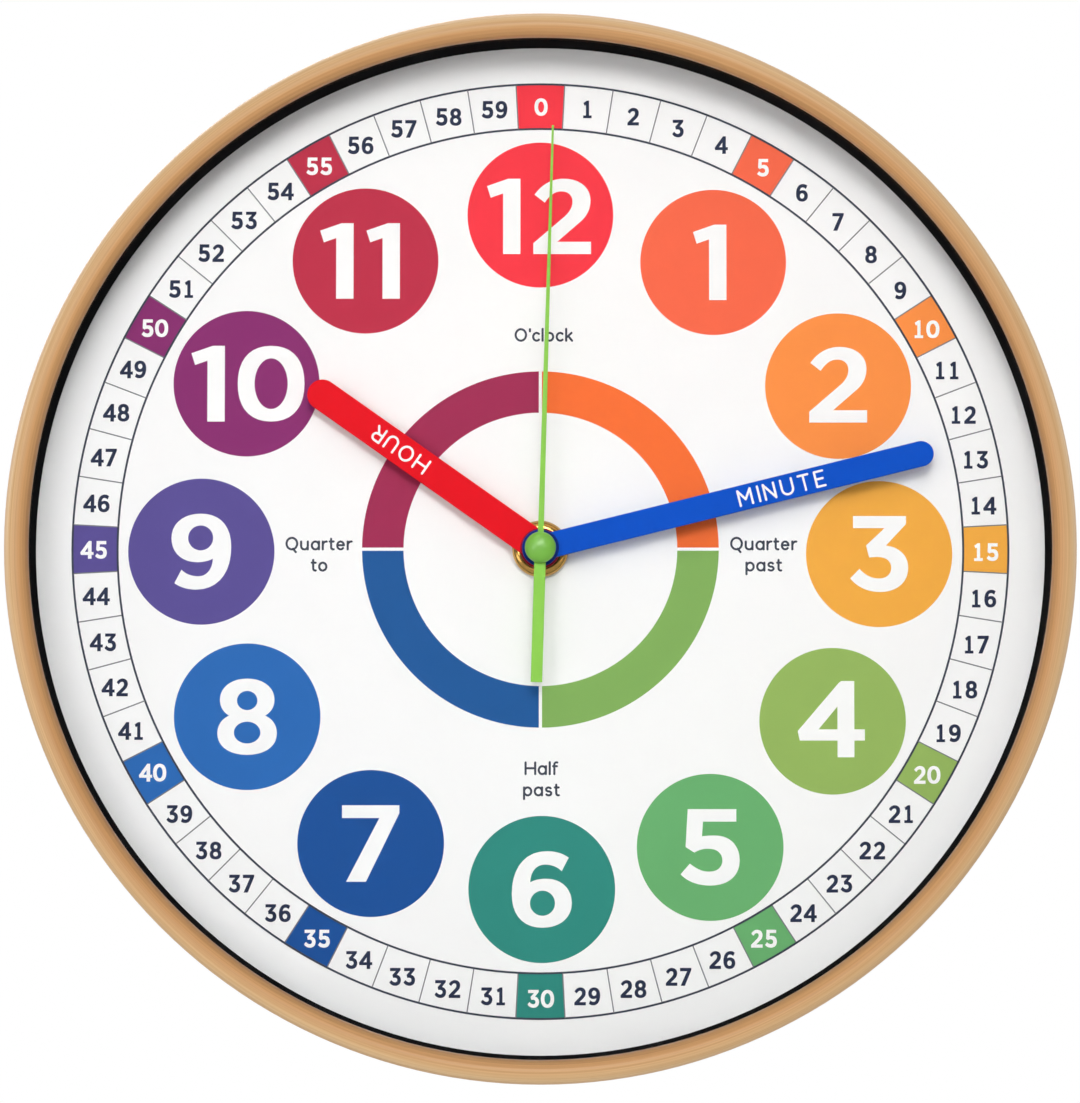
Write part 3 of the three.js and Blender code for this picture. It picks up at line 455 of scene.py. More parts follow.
white_card, tree, surface, place = start_material("white reflector card", 0.9)
rays = add(tree, "ShaderNodeLightPath")
bright = add(tree, "ShaderNodeMath", {0: unscattered(tree, rays), 1: card_glow},
             operation="MULTIPLY")
show(tree, add(tree, "ShaderNodeEmission", {"Color": linear("FFFFFF"), "Strength": bright.outputs[0]}))
for name, side, rise in (("left_card", -50, -22), ("right_card", 46, -32)):
    way = toward(side, rise)
    turn = way.to_track_quat("Z", "Y")
    bm = bmesh.new()
    bm.faces.new([bm.verts.new(aim + way * card_reach + turn @ Vector((x, y, 0)))
                  for x, y in oval(0, 0, card_half, card_half, 32)])
    staged(name, bm, white_card)
print("staged: floor, curtain and two cards")

# %% [markdown]
# The front hoop is beech-coloured wood grain on a half-round moulding. Its streaks run round the
# hoop, because the strip was bent to shape, so the pattern is drawn in the hoop's own directions: a
# slow change along the strip and a quick one across it. A fourth noise dimension lets the
# pattern close on itself with no seam. A satin lacquer lies over it.

# %% Wood finish
streak_width = 0.55 * mm
streak_turns = 1.3             # how often the grain changes along the hoop
depth_rate = 0.6               # the grain changes more slowly in depth than across
grain_share = 0.75


def from_axis(tree, place):
    """The place as seen from the hub, the same laid flat on the dial, and its distance out."""
    centred = add(tree, "ShaderNodeVectorMath", {0: place, 1: (hub_x, 0.0, hub_z)},
                  operation="SUBTRACT").outputs[0]
    flat = add(tree, "ShaderNodeVectorMath", {0: centred, 1: (1.0, 0.0, 1.0)},
               operation="MULTIPLY").outputs[0]
    reach = add(tree, "ShaderNodeVectorMath", {0: flat}, operation="LENGTH").outputs["Value"]
    return centred, flat, reach


def beech():
    material, tree, surface, place = start_material("lacquered beech-tone hoop", 0.5)
    centred, flat, reach = from_axis(tree, place)
    around = add(tree, "ShaderNodeVectorMath", {0: flat}, operation="NORMALIZE")
    split = add(tree, "ShaderNodeSeparateXYZ", {0: around.outputs[0]})
    across = add(tree, "ShaderNodeMath", {0: reach, 1: 1 / streak_width}, operation="MULTIPLY")
    parts = add(tree, "ShaderNodeSeparateXYZ", {0: centred})
    deep = add(tree, "ShaderNodeMath", {0: parts.outputs["Y"], 1: depth_rate / streak_width},
               operation="MULTIPLY")
    grain_place = add(tree, "ShaderNodeCombineXYZ", {"X": split.outputs["X"], "Y": split.outputs["Z"],
                                                     "Z": across.outputs[0]})
    streaks = add(tree, "ShaderNodeTexNoise", {"Vector": grain_place.outputs[0], "W": deep.outputs[0],
                                               "Scale": streak_turns, "Detail": 6.0,
                                               "Roughness": 0.62}, noise_dimensions="4D")
    # Painted shade and highlight across the lip: the colour is darker at its inner edge, where the
    # half-round turns away into the bore, and lightest towards the outer edge.
    edge = add(tree, "ShaderNodeMapRange", {"Value": reach, "From Min": hoop_radius - lip_width,
                                            "From Max": hoop_radius})
    tone = add(tree, "ShaderNodeValToRGB", {0: edge.outputs["Result"]})
    lip_shade_ramp = tone.color_ramp
    lip_shade_ramp.elements[0].color = linear("DEA86E")
    lip_shade_ramp.elements[1].color = linear("FCD2A0")
    for position, colour in ((0.35, "F8BE7E"), (0.62, "FFD198"), (0.86, "FFD9A6")):
        lip_shade_ramp.elements.new(position).color = linear(colour)
    fibre = add(tree, "ShaderNodeValToRGB", {0: streaks.outputs["Fac"]})
    fibre.color_ramp.elements[0].position, fibre.color_ramp.elements[1].position = 0.3, 0.68
    fibre.color_ramp.elements[0].color = linear("DCC6AA")
    fibre.color_ramp.elements[1].color = linear("FFFFFF")
    grained = add(tree, "ShaderNodeMix", {0: grain_share, 6: tone.outputs["Color"],
                                          7: fibre.outputs["Color"]},
                  data_type="RGBA", blend_type="MULTIPLY")
    bump = add(tree, "ShaderNodeBump", {"Height": streaks.outputs["Fac"], "Strength": 0.6,
                                        "Distance": 0.03 * mm})
    fill(tree, surface, {"Base Color": grained.outputs[2], "Normal": bump.outputs["Normal"],
                         "Coat Weight": 0.22, "Coat Roughness": 0.3})
    return material


print("a streak is", round(streak_width / mm, 2), "mm wide")

# %% [markdown]
# The hoop itself is spun from its section: a half-round nose in front, a short step that holds the
# lens, and a bore for the stack of dial and plates. A small chamfer breaks its back edge.

# %% Front hoop
lip_width = 6.9 * mm
lip_thick = 4 * mm
hoop_wall = 4.9 * mm
hoop_chamfer = 0.8 * mm
edge_break = 0.25 * mm
nose_steps = 20

nose_radius = lip_width / 2
nose_depth = hoop_front - nose_radius
lip_back = nose_depth + nose_radius - lip_thick
hoop_bore = hoop_radius - hoop_wall
section = softened([
    (hoop_bore, hoop_back, edge_break),
    (hoop_radius - hoop_chamfer, hoop_back, edge_break),
    (hoop_radius, hoop_back + hoop_chamfer, edge_break),
    *bow(hoop_radius - nose_radius, nose_depth, nose_radius, nose_radius, 0, 180, nose_steps),
    (hoop_radius - lip_width, lip_back),
    (hoop_bore, lip_back),
])
piece("hoop", lathed(section), "clock_case", [beech()], ["front_frame"], crease=50)

# %% [markdown]
# The lens is a flat disc cut from clear acrylic. Glass shaders throw dark shadows when lamps look
# through them, so lamp rays meet a plain transparent surface instead, and every other ray meets
# real refraction and gloss.

# %% Lens
lens_bevel = 0.4 * mm


def acrylic():
    material, tree, surface, place = start_material("clear cast acrylic", 0.0, ior=1.49)
    fill(tree, surface, {"Base Color": linear("FFFFFF"), "Transmission Weight": 1.0,
                         "Specular IOR Level": 0.3})
    rays = add(tree, "ShaderNodeLightPath")
    clear = add(tree, "ShaderNodeBsdfTransparent", {"Color": linear("FFFFFF")})
    show(tree, add(tree, "ShaderNodeMixShader", {0: rays.outputs["Is Shadow Ray"],
                                                 1: surface.outputs[0], 2: clear.outputs[0]}))
    return material


pane = softened([(0, lens_back), (pack_radius, lens_back, lens_bevel),
                 (pack_radius, lens_front, lens_bevel), (0, lens_front)], closed=False)
piece("clear_lens", lathed(pane, closed=False), "clock_case", [acrylic()], ["lens"])

# %% [markdown]
# Between lens and dial stands a black moulded wall. It is ABS with a very fine texture from a
# spark-eroded mould. That makes it so matt that it never mirrors the bright dial beside it.

# %% Inner wall
black_abs = pigmented("matt black ABS", "1A1A1B", 0.9, ior=1.53, grain=0.25 * mm, relief=0.02 * mm,
                      sheen=0.0)
ring_back, ring_front = depths("inner_ring")
lip_bore = hoop_radius - lip_width
ring_draft, ring_wall, ring_foot = 0.2 * mm, 1.1 * mm, 1.5 * mm
wall = softened([
    (lip_bore - ring_draft, ring_back, edge_break),
    (pack_radius, ring_back, edge_break),
    (pack_radius, ring_back + ring_foot, edge_break),
    (lip_bore + ring_wall, ring_back + ring_foot),
    (lip_bore + ring_wall, ring_front, edge_break),
    (lip_bore, ring_front, edge_break),
])
piece("inner_wall", lathed(wall), "clock_case", [black_abs], ["inner_ring"])

# %% [markdown]
# The dial is a white card, printed and then cut with a round hole for the bush. Offset inks are only
# microns thick. They are pressed here at a few hundredths of a millimetre, which is too thin to see
# from the side, but gives every colour a clean mesh of its own.

# %% Dial sheet
dial_hole = 4.1 * mm
card = pigmented("white printed card", "FAFAF9", 0.55, mottle=9 * mm, shift=0.006, grain=0.5 * mm,
                 relief=0.004 * mm, sheen=0.2)
card_edge = 0.1 * mm
sheet = softened([(dial_hole, dial_back), (pack_radius, dial_back, card_edge),
                  (pack_radius, dial_face, card_edge), (dial_hole, dial_face)])
piece("dial_card", lathed(sheet), "clock_case", [card], ["dial"])


def ink(name, colour):
    return pigmented(name, colour, 0.55, mottle=7 * mm, shift=0.03, grain=0.35 * mm, relief=0.003 * mm,
                     sheen=0.15)


hour_colours = {
    1: "F86846", 2: "FE9243", 3: "F5AE42", 4: "96B75E", 5: "69B16F", 6: "2B8A7E",
    7: "0C4E98", 8: "2468B4", 9: "594D94", 10: "88276C", 11: "BE2A45", 12: "F83442"}
hour_inks = {hour: ink(f"offset ink for hour {hour}", colour) for hour, colour in hour_colours.items()}
quarter_inks = [ink(f"offset ink for quarter {k + 1}", colour)
                for k, colour in enumerate(("F97030", "82AF5B", "165799", "A02751"))]
white_ink = ink("white offset ink", "FBFBFA")
slate_ink = ink("slate offset ink", "3B414F")
navy_ink = ink("navy offset ink", "252D47")
grey_ink = ink("grey offset ink", "7A7C80")
ink_thick = 0.03 * mm
first_layer = dial_face
second_layer = dial_face + ink_thick
print("inks:", len(hour_inks) + len(quarter_inks) + 4)


def on_dial(angle, distance):
    return distance * sin(radians(angle)), distance * cos(radians(angle))


# %% [markdown]
# Twelve coloured discs carry the hours. On the real print they aren't set out quite evenly: several
# stand a millimetre off the true circle. Those small departures are kept, since they give
# the dial its hand-laid look.

# %% Hour discs
disc_radius = 21.05 * mm
disc_circle = 97.4 * mm
disc_drift = {                  # millimetres right and up, from the even circle
    1: (1.2, -1.4), 2: (1.5, -1.6), 3: (0.1, -1.4), 4: (-0.4, -0.8), 5: (0, -1.3), 6: (0.4, -0.3),
    7: (0, -0.2), 8: (0.1, 0.5), 9: (-0.2, -0.7), 10: (-0.4, -0.9), 11: (-1.8, -1), 12: (0, -0.7)}
disc = stamp([oval(0, 0, 1, 1, 96)])
disc_at = {}
bm = bmesh.new()
for hour, (right, up) in disc_drift.items():
    x, y = on_dial(360 * hour / 12, disc_circle)
    disc_at[hour] = (x + right * mm, y + up * mm)
    press(bm, disc, disc_at[hour], disc_radius, first_layer, ink_thick, look=hour - 1)
piece("hour_discs", bm, "clock_case", [hour_inks[hour] for hour in range(1, 13)])

# %% [markdown]
# The numerals are a bold geometric face, drawn here from scratch as outlines. Each outline lists
# shares of the numeral's height: two numbers go straight to a corner, six bend there along a
# curve with two handles. Closed counters, such as the eye of a six, are ovals or corners cut out
# afterwards. A nine is a six turned round.

# %% Numeral outlines
def drawn(shares, steps=10):
    outline = []
    for entry in shares:
        if len(entry) == 2:
            outline.append(entry)
            continue
        knot = outline[-1]
        curve = interpolate_bezier(*[Vector((*p, 0)) for p in (knot, entry[:2], entry[2:4], entry[4:])],
                                   steps)
        outline += [(point.x, point.y) for point in curve[1:]]
    return outline[:-1] if (Vector(outline[0]) - Vector(outline[-1])).length < 1e-4 else outline


def turned_round(outline, width):
    return [(width - x, 1 - y) for x, y in outline]


numeral_shares = {
    "0": (0.88, [(0.44, 0), (0.72, 0, 0.88, 0.18, 0.88, 0.5), (0.88, 0.82, 0.72, 1, 0.44, 1),
                 (0.16, 1, 0, 0.82, 0, 0.5), (0, 0.18, 0.16, 0, 0.44, 0)], [(0.44, 0.5, 0.218, 0.335)]),
    "1": (0.441, [(0.212, 0), (0.441, 0), (0.441, 1), (0.28, 1), (0, 0.902), (0.049, 0.747),
                  (0.212, 0.804)], []),
    "2": (0.761, [(0, 0), (0.761, 0), (0.761, 0.163), (0.315, 0.163), (0.64, 0.445),
                  (0.72, 0.525, 0.755, 0.61, 0.755, 0.715), (0.755, 0.885, 0.61, 1, 0.40, 1),
                  (0.235, 1, 0.105, 0.915, 0.016, 0.788), (0.152, 0.682),
                  (0.215, 0.78, 0.285, 0.832, 0.372, 0.832), (0.462, 0.832, 0.517, 0.778, 0.517, 0.695),
                  (0.517, 0.625, 0.483, 0.565, 0.42, 0.505), (0, 0.144)], []),
    "3": (0.763, [(0.04, 1), (0.736, 1), (0.736, 0.895), (0.472, 0.612),
                  (0.655, 0.59, 0.763, 0.475, 0.763, 0.32), (0.763, 0.125, 0.61, 0, 0.396, 0),
                  (0.23, 0, 0.09, 0.065, 0, 0.18), (0.121, 0.305),
                  (0.195, 0.222, 0.285, 0.178, 0.377, 0.178),
                  (0.475, 0.178, 0.54, 0.235, 0.54, 0.32), (0.54, 0.41, 0.47, 0.462, 0.35, 0.462),
                  (0.25, 0.455), (0.21, 0.612), (0.453, 0.841), (0.04, 0.841)], []),
    "4": (0.88, [(0.522, 0), (0.743, 0), (0.743, 0.219), (0.88, 0.219), (0.88, 0.366), (0.743, 0.366),
                 (0.743, 1), (0.574, 1), (0.545, 0.98, 0.54, 0.975, 0.53, 0.963), (0, 0.344),
                 (0.027, 0.219), (0.522, 0.219)], [[(0.522, 0.667), (0.273, 0.366), (0.522, 0.366)]]),
    "5": (0.774, [(0.094, 1), (0.73, 1), (0.73, 0.836), (0.294, 0.836), (0.28, 0.644),
                  (0.34, 0.652, 0.4, 0.655, 0.45, 0.655), (0.65, 0.655, 0.774, 0.525, 0.774, 0.329),
                  (0.774, 0.125, 0.62, 0, 0.39, 0), (0.22, 0, 0.08, 0.055, 0, 0.148), (0.121, 0.288),
                  (0.2, 0.222, 0.28, 0.182, 0.369, 0.182), (0.48, 0.182, 0.547, 0.238, 0.547, 0.329),
                  (0.547, 0.425, 0.475, 0.482, 0.356, 0.482), (0.29, 0.482, 0.23, 0.462, 0.18, 0.431),
                  (0.065, 0.504)], []),
    "6": (0.786, [(0.746, 0.915), (0.653, 0.738), (0.6, 0.795, 0.52, 0.825, 0.434, 0.825),
                  (0.315, 0.825, 0.245, 0.725, 0.241, 0.593), (0.3, 0.625, 0.375, 0.64, 0.447, 0.64),
                  (0.655, 0.64, 0.786, 0.51, 0.786, 0.32), (0.786, 0.13, 0.63, 0, 0.4, 0),
                  (0.15, 0, 0, 0.16, 0, 0.44), (0, 0.78, 0.17, 1, 0.46, 1),
                  (0.575, 1, 0.67, 0.97, 0.746, 0.915)], [(0.402, 0.32, 0.164, 0.164)]),
    "7": (0.751, [(0, 1), (0.751, 1), (0.751, 0.896), (0.314, 0), (0.055, 0), (0.489, 0.833),
                  (0, 0.833)], []),
    "8": (0.78, [(0.39, 0), (0.62, 0, 0.78, 0.105, 0.78, 0.282), (0.78, 0.39, 0.72, 0.475, 0.626, 0.514),
                 (0.70, 0.555, 0.748, 0.63, 0.748, 0.723), (0.748, 0.885, 0.6, 1, 0.39, 1),
                 (0.18, 1, 0.032, 0.885, 0.032, 0.723), (0.032, 0.63, 0.08, 0.555, 0.154, 0.514),
                 (0.06, 0.475, 0, 0.39, 0, 0.282), (0, 0.105, 0.16, 0, 0.39, 0)],
          [(0.39, 0.712, 0.134, 0.126), (0.39, 0.292, 0.174, 0.143)]),
}
footed_one_shares = [(0, 0), (0.56, 0), (0.56, 0.14), (0.385, 0.14), (0.385, 1), (0.24, 1), (0.02, 0.87),
                     (0.09, 0.73), (0.19, 0.785), (0.19, 0.14), (0, 0.14)]


def swollen(outline, by):
    """The outline moved outwards by a share of the height, or inwards if the share is negative."""
    outward = by if area_of(outline) > 0 else -by
    moved = []
    for before, here, after in zip(outline[-1:] + outline[:-1], outline, outline[1:] + outline[:1]):
        arriving = (Vector(here) - Vector(before)).normalized()
        along = (arriving + (Vector(after) - Vector(here)).normalized()).normalized()
        step = outward / max(0.5, arriving.dot(along))
        moved.append((here[0] + along.y * step, here[1] - along.x * step))
    return moved


def figure_faces(all_shares, swell=0.0):
    faces = {}
    for figure, (width, shares, counters) in all_shares.items():
        body = swollen(drawn(shares), swell)
        holes = [swollen(oval(*counter) if isinstance(counter, tuple) else counter, -swell)
                 for counter in counters]
        faces[figure] = (width, stamp([body], holes))
        if figure == "6":
            faces["9"] = (width, stamp([turned_round(body, width)],
                                       [turned_round(hole, width) for hole in holes]))
    return faces


numerals = figure_faces(numeral_shares)
footed = figure_faces({**numeral_shares, "1": (0.56, footed_one_shares, [])}, swell=0.012)


def write_number(bm, text, faces, centre, height, depth, gap, look=0, squeeze=1.0, cell=0.0):
    """Sets figures side by side about a centre, in equal cells if a cell's width is given."""
    rooms = [cell or faces[figure][0] * squeeze for figure in text]
    x = -(sum(rooms) + gap * (len(text) - 1)) / 2
    for figure, room in zip(text, rooms):
        width, shape = faces[figure]
        left = x + (room - width * squeeze) / 2
        at = (centre[0] + left * height, centre[1] - height / 2)
        press(bm, shape, at, height, depth, ink_thick, look=look, squeeze=squeeze)
        x += room + gap


print("numerals drawn:", " ".join(sorted(numerals)))

# %% [markdown]
# The hour numbers are left unprinted on the real sheet, so they show as white card. Laying them as
# a white layer over the discs looks the same and needs no cut-outs in the discs.

# %% Hour numerals
hour_height = 21.9 * mm
hour_gap_share = 0.17
hour_drift = {1: (-1.0, 0), 2: (0, 0.4), 4: (-0.4, 0.6), 10: (0.4, 0), 11: (-1.6, 0), 12: (-0.4, -0.4)}
bm = bmesh.new()
for hour, (x, y) in disc_at.items():
    right, up = hour_drift.get(hour, (0, 0))
    write_number(bm, str(hour), numerals, (x + right * mm, y + up * mm), hour_height, second_layer,
                 hour_gap_share)
piece("hour_numerals", bm, "clock_case", [white_ink])

# %% [markdown]
# The minute ring is a band between two thin lines, split into sixty cells. Every fifth cell is
# filled with the colour of its hour. The first layer holds fills and lines, the second the numbers.

# %% Minute ring
ring_outer, ring_inner = 134.7 * mm, 121.7 * mm
line_width, divider_width = 0.6 * mm, 0.35 * mm
half_line = line_width / 2
cell_angle = 6
bm = bmesh.new()
for edge in (ring_outer, ring_inner):
    halves = [sector(edge - half_line, edge + half_line, side, side + 180, steps=120)
              for side in (0, 180)]
    press(bm, stamp(halves), (0, 0), 1, second_layer, ink_thick, look=0)
half = divider_width / 2
divider = stamp([[(-half, ring_inner), (half, ring_inner), (half, ring_outer), (-half, ring_outer)]])
for k in range(60):
    turn = -radians(cell_angle * (k + 0.5))
    press(bm, divider, (0, 0), 1, second_layer, ink_thick, turn=turn, look=1)
piece("minute_lines", bm, "clock_case", [slate_ink, grey_ink])

bm = bmesh.new()
for hour in range(1, 13):
    start = 360 * hour / 12 - cell_angle / 2
    cell = sector(ring_inner, ring_outer, start, start + cell_angle, steps=8)
    press(bm, stamp([cell]), (0, 0), 1, first_layer, ink_thick, look=hour - 1)
piece("minute_cells", bm, "clock_case", [hour_inks[hour] for hour in range(1, 13)])

# %% [markdown]
# The minute numbers stay upright all the way round. Their face is narrower than the hours' and its
# one has a foot, so that it isn't mistaken for a divider.

# %% Minute numbers
number_circle = 128.1 * mm
minute_height = 5.0 * mm
minute_squeeze = 0.84
minute_cell = 0.81             # every figure takes the same room, as a share of the height
minute_drift = (               # before this minute: millimetres right and up, from the even circle
    (5, 0.2, 0.0), (12, 0.3, -0.5), (40, 0.0, -0.85), (51, -0.4, -0.2), (60, 0.1, -0.1))
bm = bmesh.new()
for minute in range(60):
    right, up = next((right, up) for end, right, up in minute_drift if minute < end)
    x, y = on_dial(cell_angle * minute, number_circle)
    write_number(bm, str(minute), footed, (x + right * mm, y + up * mm), minute_height,
                 second_layer, 0.0, look=0 if minute % 5 else 1, squeeze=minute_squeeze,
                 cell=minute_cell)
piece("minute_numbers", bm, "clock_case", [navy_ink, white_ink])

# %% [markdown]
# Four quarter arcs circle the hub. Parallel white gaps split them on the axes of the dial.

# %% Quarter arcs
quarter_outer, quarter_inner, quarter_gap = 51.35 * mm, 39.4 * mm, 0.9 * mm
bm = bmesh.new()
for k in range(4):
    arc = stamp([sector(quarter_inner, quarter_outer, 90 * k, 90 * (k + 1), gap=quarter_gap)])
    press(bm, arc, (0, 0), 1, first_layer, ink_thick, look=k)
piece("quarter_arcs", bm, "clock_case", quarter_inks)

# %% [markdown]
# Captions and the words on the hands are in a rounded sans. Its letters are drawn the way a round
# nib writes them: each stroke is a centre line, swept by a nib, with a dot at every end and sharp
# corner. Heights and widths are shares of the capitals' height.

# %% A nib and its letters
nib_corner = radians(30)


def swept(points, nib):
    """Outlines of a stroke: a band for each smooth run, and a dot at each end of a run."""
    points = [Vector(point) for point in points]
    points = points[:1] + [b for a, b in zip(points, points[1:]) if (b - a).length > 1e-6]
    runs = [[points[0]]]
    for k, point in enumerate(points[1:], 1):
        runs[-1].append(point)
        if k < len(points) - 1 and (points[k + 1] - point).angle(point - points[k - 1]) > nib_corner:
            runs.append([point])
    outlines = []
    for run in runs:
        left, right = [], []
        for k, point in enumerate(run):
            ahead = (run[min(k + 1, len(run) - 1)] - run[max(k - 1, 0)]).normalized()
            side = Vector((-ahead.y, ahead.x)) * nib / 2
            left.append(point + side)
            right.append(point - side)
        outlines.append(left + right[::-1])
        outlines += [oval(*end, nib / 2, nib / 2, 16) for end in (run[0], run[-1])]
    return outlines


def ring(cx, cy, rx, ry):
    return [bow(cx, cy, rx, ry, 0, 180), bow(cx, cy, rx, ry, 180, 360)]


low = 0.68                     # height of the small letters
letters = {                    # advance width, then the strokes
    "O": (1.2, ring(0.45, 0.5, 0.45, 0.5)),
    "Q": (1.26, [*ring(0.46, 0.5, 0.46, 0.5), [(0.56, 0.06), (0.8, -0.24)]]),
    "H": (1.14, [[(0, 0), (0, 1)], [(0.83, 0), (0.83, 1)], [(0, 0.5), (0.83, 0.5)]]),
    "'": (0.32, [[(0.04, 1), (0.04, 0.82)]]),
    "c": (0.82, [bow(0.3, low / 2, 0.3, low / 2, 48, 312)]),
    "l": (0.3, [[(0, 1.03), (0, 0)]]),
    "o": (0.93, ring(0.31, low / 2, 0.31, low / 2)),
    "k": (0.8, [[(0, 1.03), (0, 0)], [(0.46, low), (0.03, 0.27)], [(0.19, 0.4), (0.51, 0)]]),
    "u": (0.93, [[(0, low), *bow(0.29, 0.29, 0.29, 0.29, 180, 360)], [(0.58, low), (0.58, 0)]]),
    "a": (0.95, [*ring(0.31, low / 2, 0.31, low / 2), [(0.62, low), (0.62, 0)]]),
    "r": (0.6, [[(0, low), (0, 0)], bow(0.3, 0.34, 0.3, 0.34, 180, 82)]),
    "t": (0.64, [[(0.12, 0.92), *bow(0.3, 0.2, 0.18, 0.2, 180, 284)], [(0, low), (0.33, low)]]),
    "e": (0.92, [[(0.02, 0.36), (0.58, 0.36)], bow(0.3, low / 2, 0.29, low / 2, 3, 318)]),
    "p": (0.93, [*ring(0.31, low / 2, 0.31, low / 2), [(0, low), (0, -0.32)]]),
    "s": (0.78, [[*bow(0.24, low * 0.75, 0.21, low / 4, 35, 270),
                  *bow(0.24, low / 4, 0.23, low / 4, 90, -145)]]),
    "f": (0.62, [[*bow(0.29, 0.82, 0.19, 0.19, 70, 180), (0.1, 0)], [(0, low), (0.32, low)]]),
    "U": (1.05, [[(0, 1), *bow(0.37, 0.37, 0.37, 0.37, 180, 360), (0.74, 1)]]),
    "R": (0.95, [[(0, 0), (0, 1), *bow(0.38, 0.74, 0.25, 0.26, 90, -90), (0, 0.48)],
                 [(0.32, 0.48), (0.64, 0)]]),
    "M": (1.16, [[(0, 0), (0, 1), (0.42, 0.36), (0.84, 1), (0.84, 0)]]),
    "I": (0.34, [[(0, 0), (0, 1)]]),
    "N": (1.02, [[(0, 0), (0, 1), (0.7, 0), (0.7, 1)]]),
    "T": (0.96, [[(0, 1), (0.66, 1)], [(0.33, 1), (0.33, 0)]]),
    "E": (0.86, [[(0.56, 1), (0, 1), (0, 0), (0.56, 0)], [(0, 0.5), (0.48, 0.5)]]),
}
letter_stamps = {}


def letter_stamp(letter, nib):
    if (letter, nib) not in letter_stamps:
        outlines = [outline for stroke in letters[letter][1] for outline in swept(stroke, nib)]
        letter_stamps[letter, nib] = stamp(outlines)
    return letter_stamps[letter, nib]


def write_word(bm, text, centre, height, nib, depth, thick, turn=0.0, spacing=1.0):
    """Writes along the direction of turn. The centre is that of the word's capitals."""
    advances = [letters[letter][0] * spacing for letter in text]
    last_ink = max(x for stroke in letters[text[-1]][1] for x, y in stroke)
    x = -(sum(advances[:-1]) + last_ink) / 2
    for letter, advance in zip(text, advances):
        right, up = x * height, -height / 2
        at = (centre[0] + right * cos(turn) - up * sin(turn),
              centre[1] + right * sin(turn) + up * cos(turn))
        press(bm, letter_stamp(letter, nib), at, height, depth, thick, turn=turn)
        x += advance


print("letters drawn:", " ".join(sorted(letters)))

# %% [markdown]
# Four captions name the quarters of the hour. Each is set in slate ink outside the quarter arcs, in
# one line or two, where its quarter ends.

# %% Captions
caption_height = 3.32 * mm
caption_nib = 0.19
caption_pitch = 6.1 * mm       # from line to line
bm = bmesh.new()
for lines, right, up in ((("O'clock",), 1.0, 61.9), (("Quarter", "past"), 64.3, 1.6),
                         (("Half", "past"), 0.3, -63.0), (("Quarter", "to"), -63.7, 1.6)):
    for row, text in enumerate(lines):
        write_word(bm, text, (right * mm, up * mm - row * caption_pitch), caption_height, caption_nib,
                   first_layer, ink_thick)
piece("captions", bm, "clock_case", [slate_ink])

# %% [markdown]
# A round brass nut clamps the movement to the dial. It is turned and then burnished, so its skin
# carries fine rings from the tool. They are drawn coarser than the real ones, at a fifth of a
# millimetre, or the picture would lose them. Brass is a metal: its colour is its reflection.

# %% Brass nut
tarnish_spot, tarnish_share = 2 * mm, 0.88


def turned_metal(name, colour, roughness, pitch, relief):
    material, tree, surface, place = start_material(name, roughness, metallic=1.0)
    centred, flat, reach = from_axis(tree, place)
    rings = add(tree, "ShaderNodeTexNoise", {"W": reach, "Scale": 1 / pitch, "Detail": 2.0},
                noise_dimensions="1D")
    cloud = add(tree, "ShaderNodeTexNoise", {"Vector": place, "Scale": 1 / tarnish_spot, "Detail": 2.0})
    base = linear(colour)
    worn = (*[c * tarnish_share for c in base[:3]], 1.0)
    mixed = add(tree, "ShaderNodeMix", {0: cloud.outputs["Fac"], 6: worn, 7: base}, data_type="RGBA")
    bump = add(tree, "ShaderNodeBump", {"Height": rings.outputs["Fac"], "Strength": 1.0,
                                        "Distance": relief})
    fill(tree, surface, {"Base Color": mixed.outputs[2], "Normal": bump.outputs["Normal"]})
    return material


brass = turned_metal("burnished brass", "CC9E55", 0.15, 0.2 * mm, 0.003 * mm)
nut_back, nut_front = depths("brass_nut")
nut_radius = radius("brass_nut")
crown_radius = 5.9 * mm
nut_bore = 4.1 * mm
nut_skirt = 0.7 * mm
crown_steps = 10
crown = bow(crown_radius, nut_back + nut_skirt, nut_radius - crown_radius,
            nut_front - nut_back - nut_skirt, 0, 90, crown_steps)
nut_section = softened([(nut_bore, nut_back, edge_break / 2), (nut_radius, nut_back, edge_break),
                        *crown, (nut_bore, nut_front, edge_break)])
piece("round_nut", lathed(nut_section, steps=128), "clock_case", [brass], ["brass_nut"],
      crease=60)

# %% [markdown]
# The hands are stamped from aluminium strip and enamelled. A stamped strip has a flat face and
# rounded edges. Its outline is drawn once in the plane, given its thickness, and a bevel modifier
# rolls the edges. A turned boss carries it on its pipe. The boss gets a darker enamel, which is
# painted shade for the shadow that the cap and the hands above it throw round the hub.

# %% Enamelled hands
hour_angle, minute_angle, second_angle = 305.2, 76.1, 1.7


def enamel(name, colour):
    return pigmented(name, colour, 0.34, ior=1.52, mottle=4 * mm, shift=0.03, grain=0.6 * mm,
                     relief=0.004 * mm, spread=0.04, sheen=0.05)


def outline_slab(bm, outline, depth, thick, angle):
    """One closed plate from an outline that is drawn pointing at twelve."""
    turn = radians(angle)
    places = [(x * cos(turn) + y * sin(turn), -x * sin(turn) + y * cos(turn)) for x, y in outline]
    under = [bm.verts.new(spot(x, y, depth)) for x, y in places]
    over = [bm.verts.new(spot(x, y, depth + thick)) for x, y in places]
    bm.faces.new(over)
    bm.faces.new(under[::-1])
    for k in range(len(places)):
        n = (k + 1) % len(places)
        bm.faces.new((over[n], over[k], under[k], under[n]))


def rolled(made, width, segments=3):
    bevel = made.modifiers.new("rolled_edges", "BEVEL")
    bevel.width = width
    bevel.segments = segments
    bevel.limit_method = "ANGLE"
    bevel.angle_limit = radians(40)
    made.modifiers.move(len(made.modifiers) - 1, 0)


def strap_outline(width, start, length):
    """A strap that begins inside its boss, just clear of the bore, and ends in a half circle."""
    half = width / 2
    tip = bow(0, length - half, half, half, 0, 180, 32)
    return [(half, start), *tip, (-half, start)]


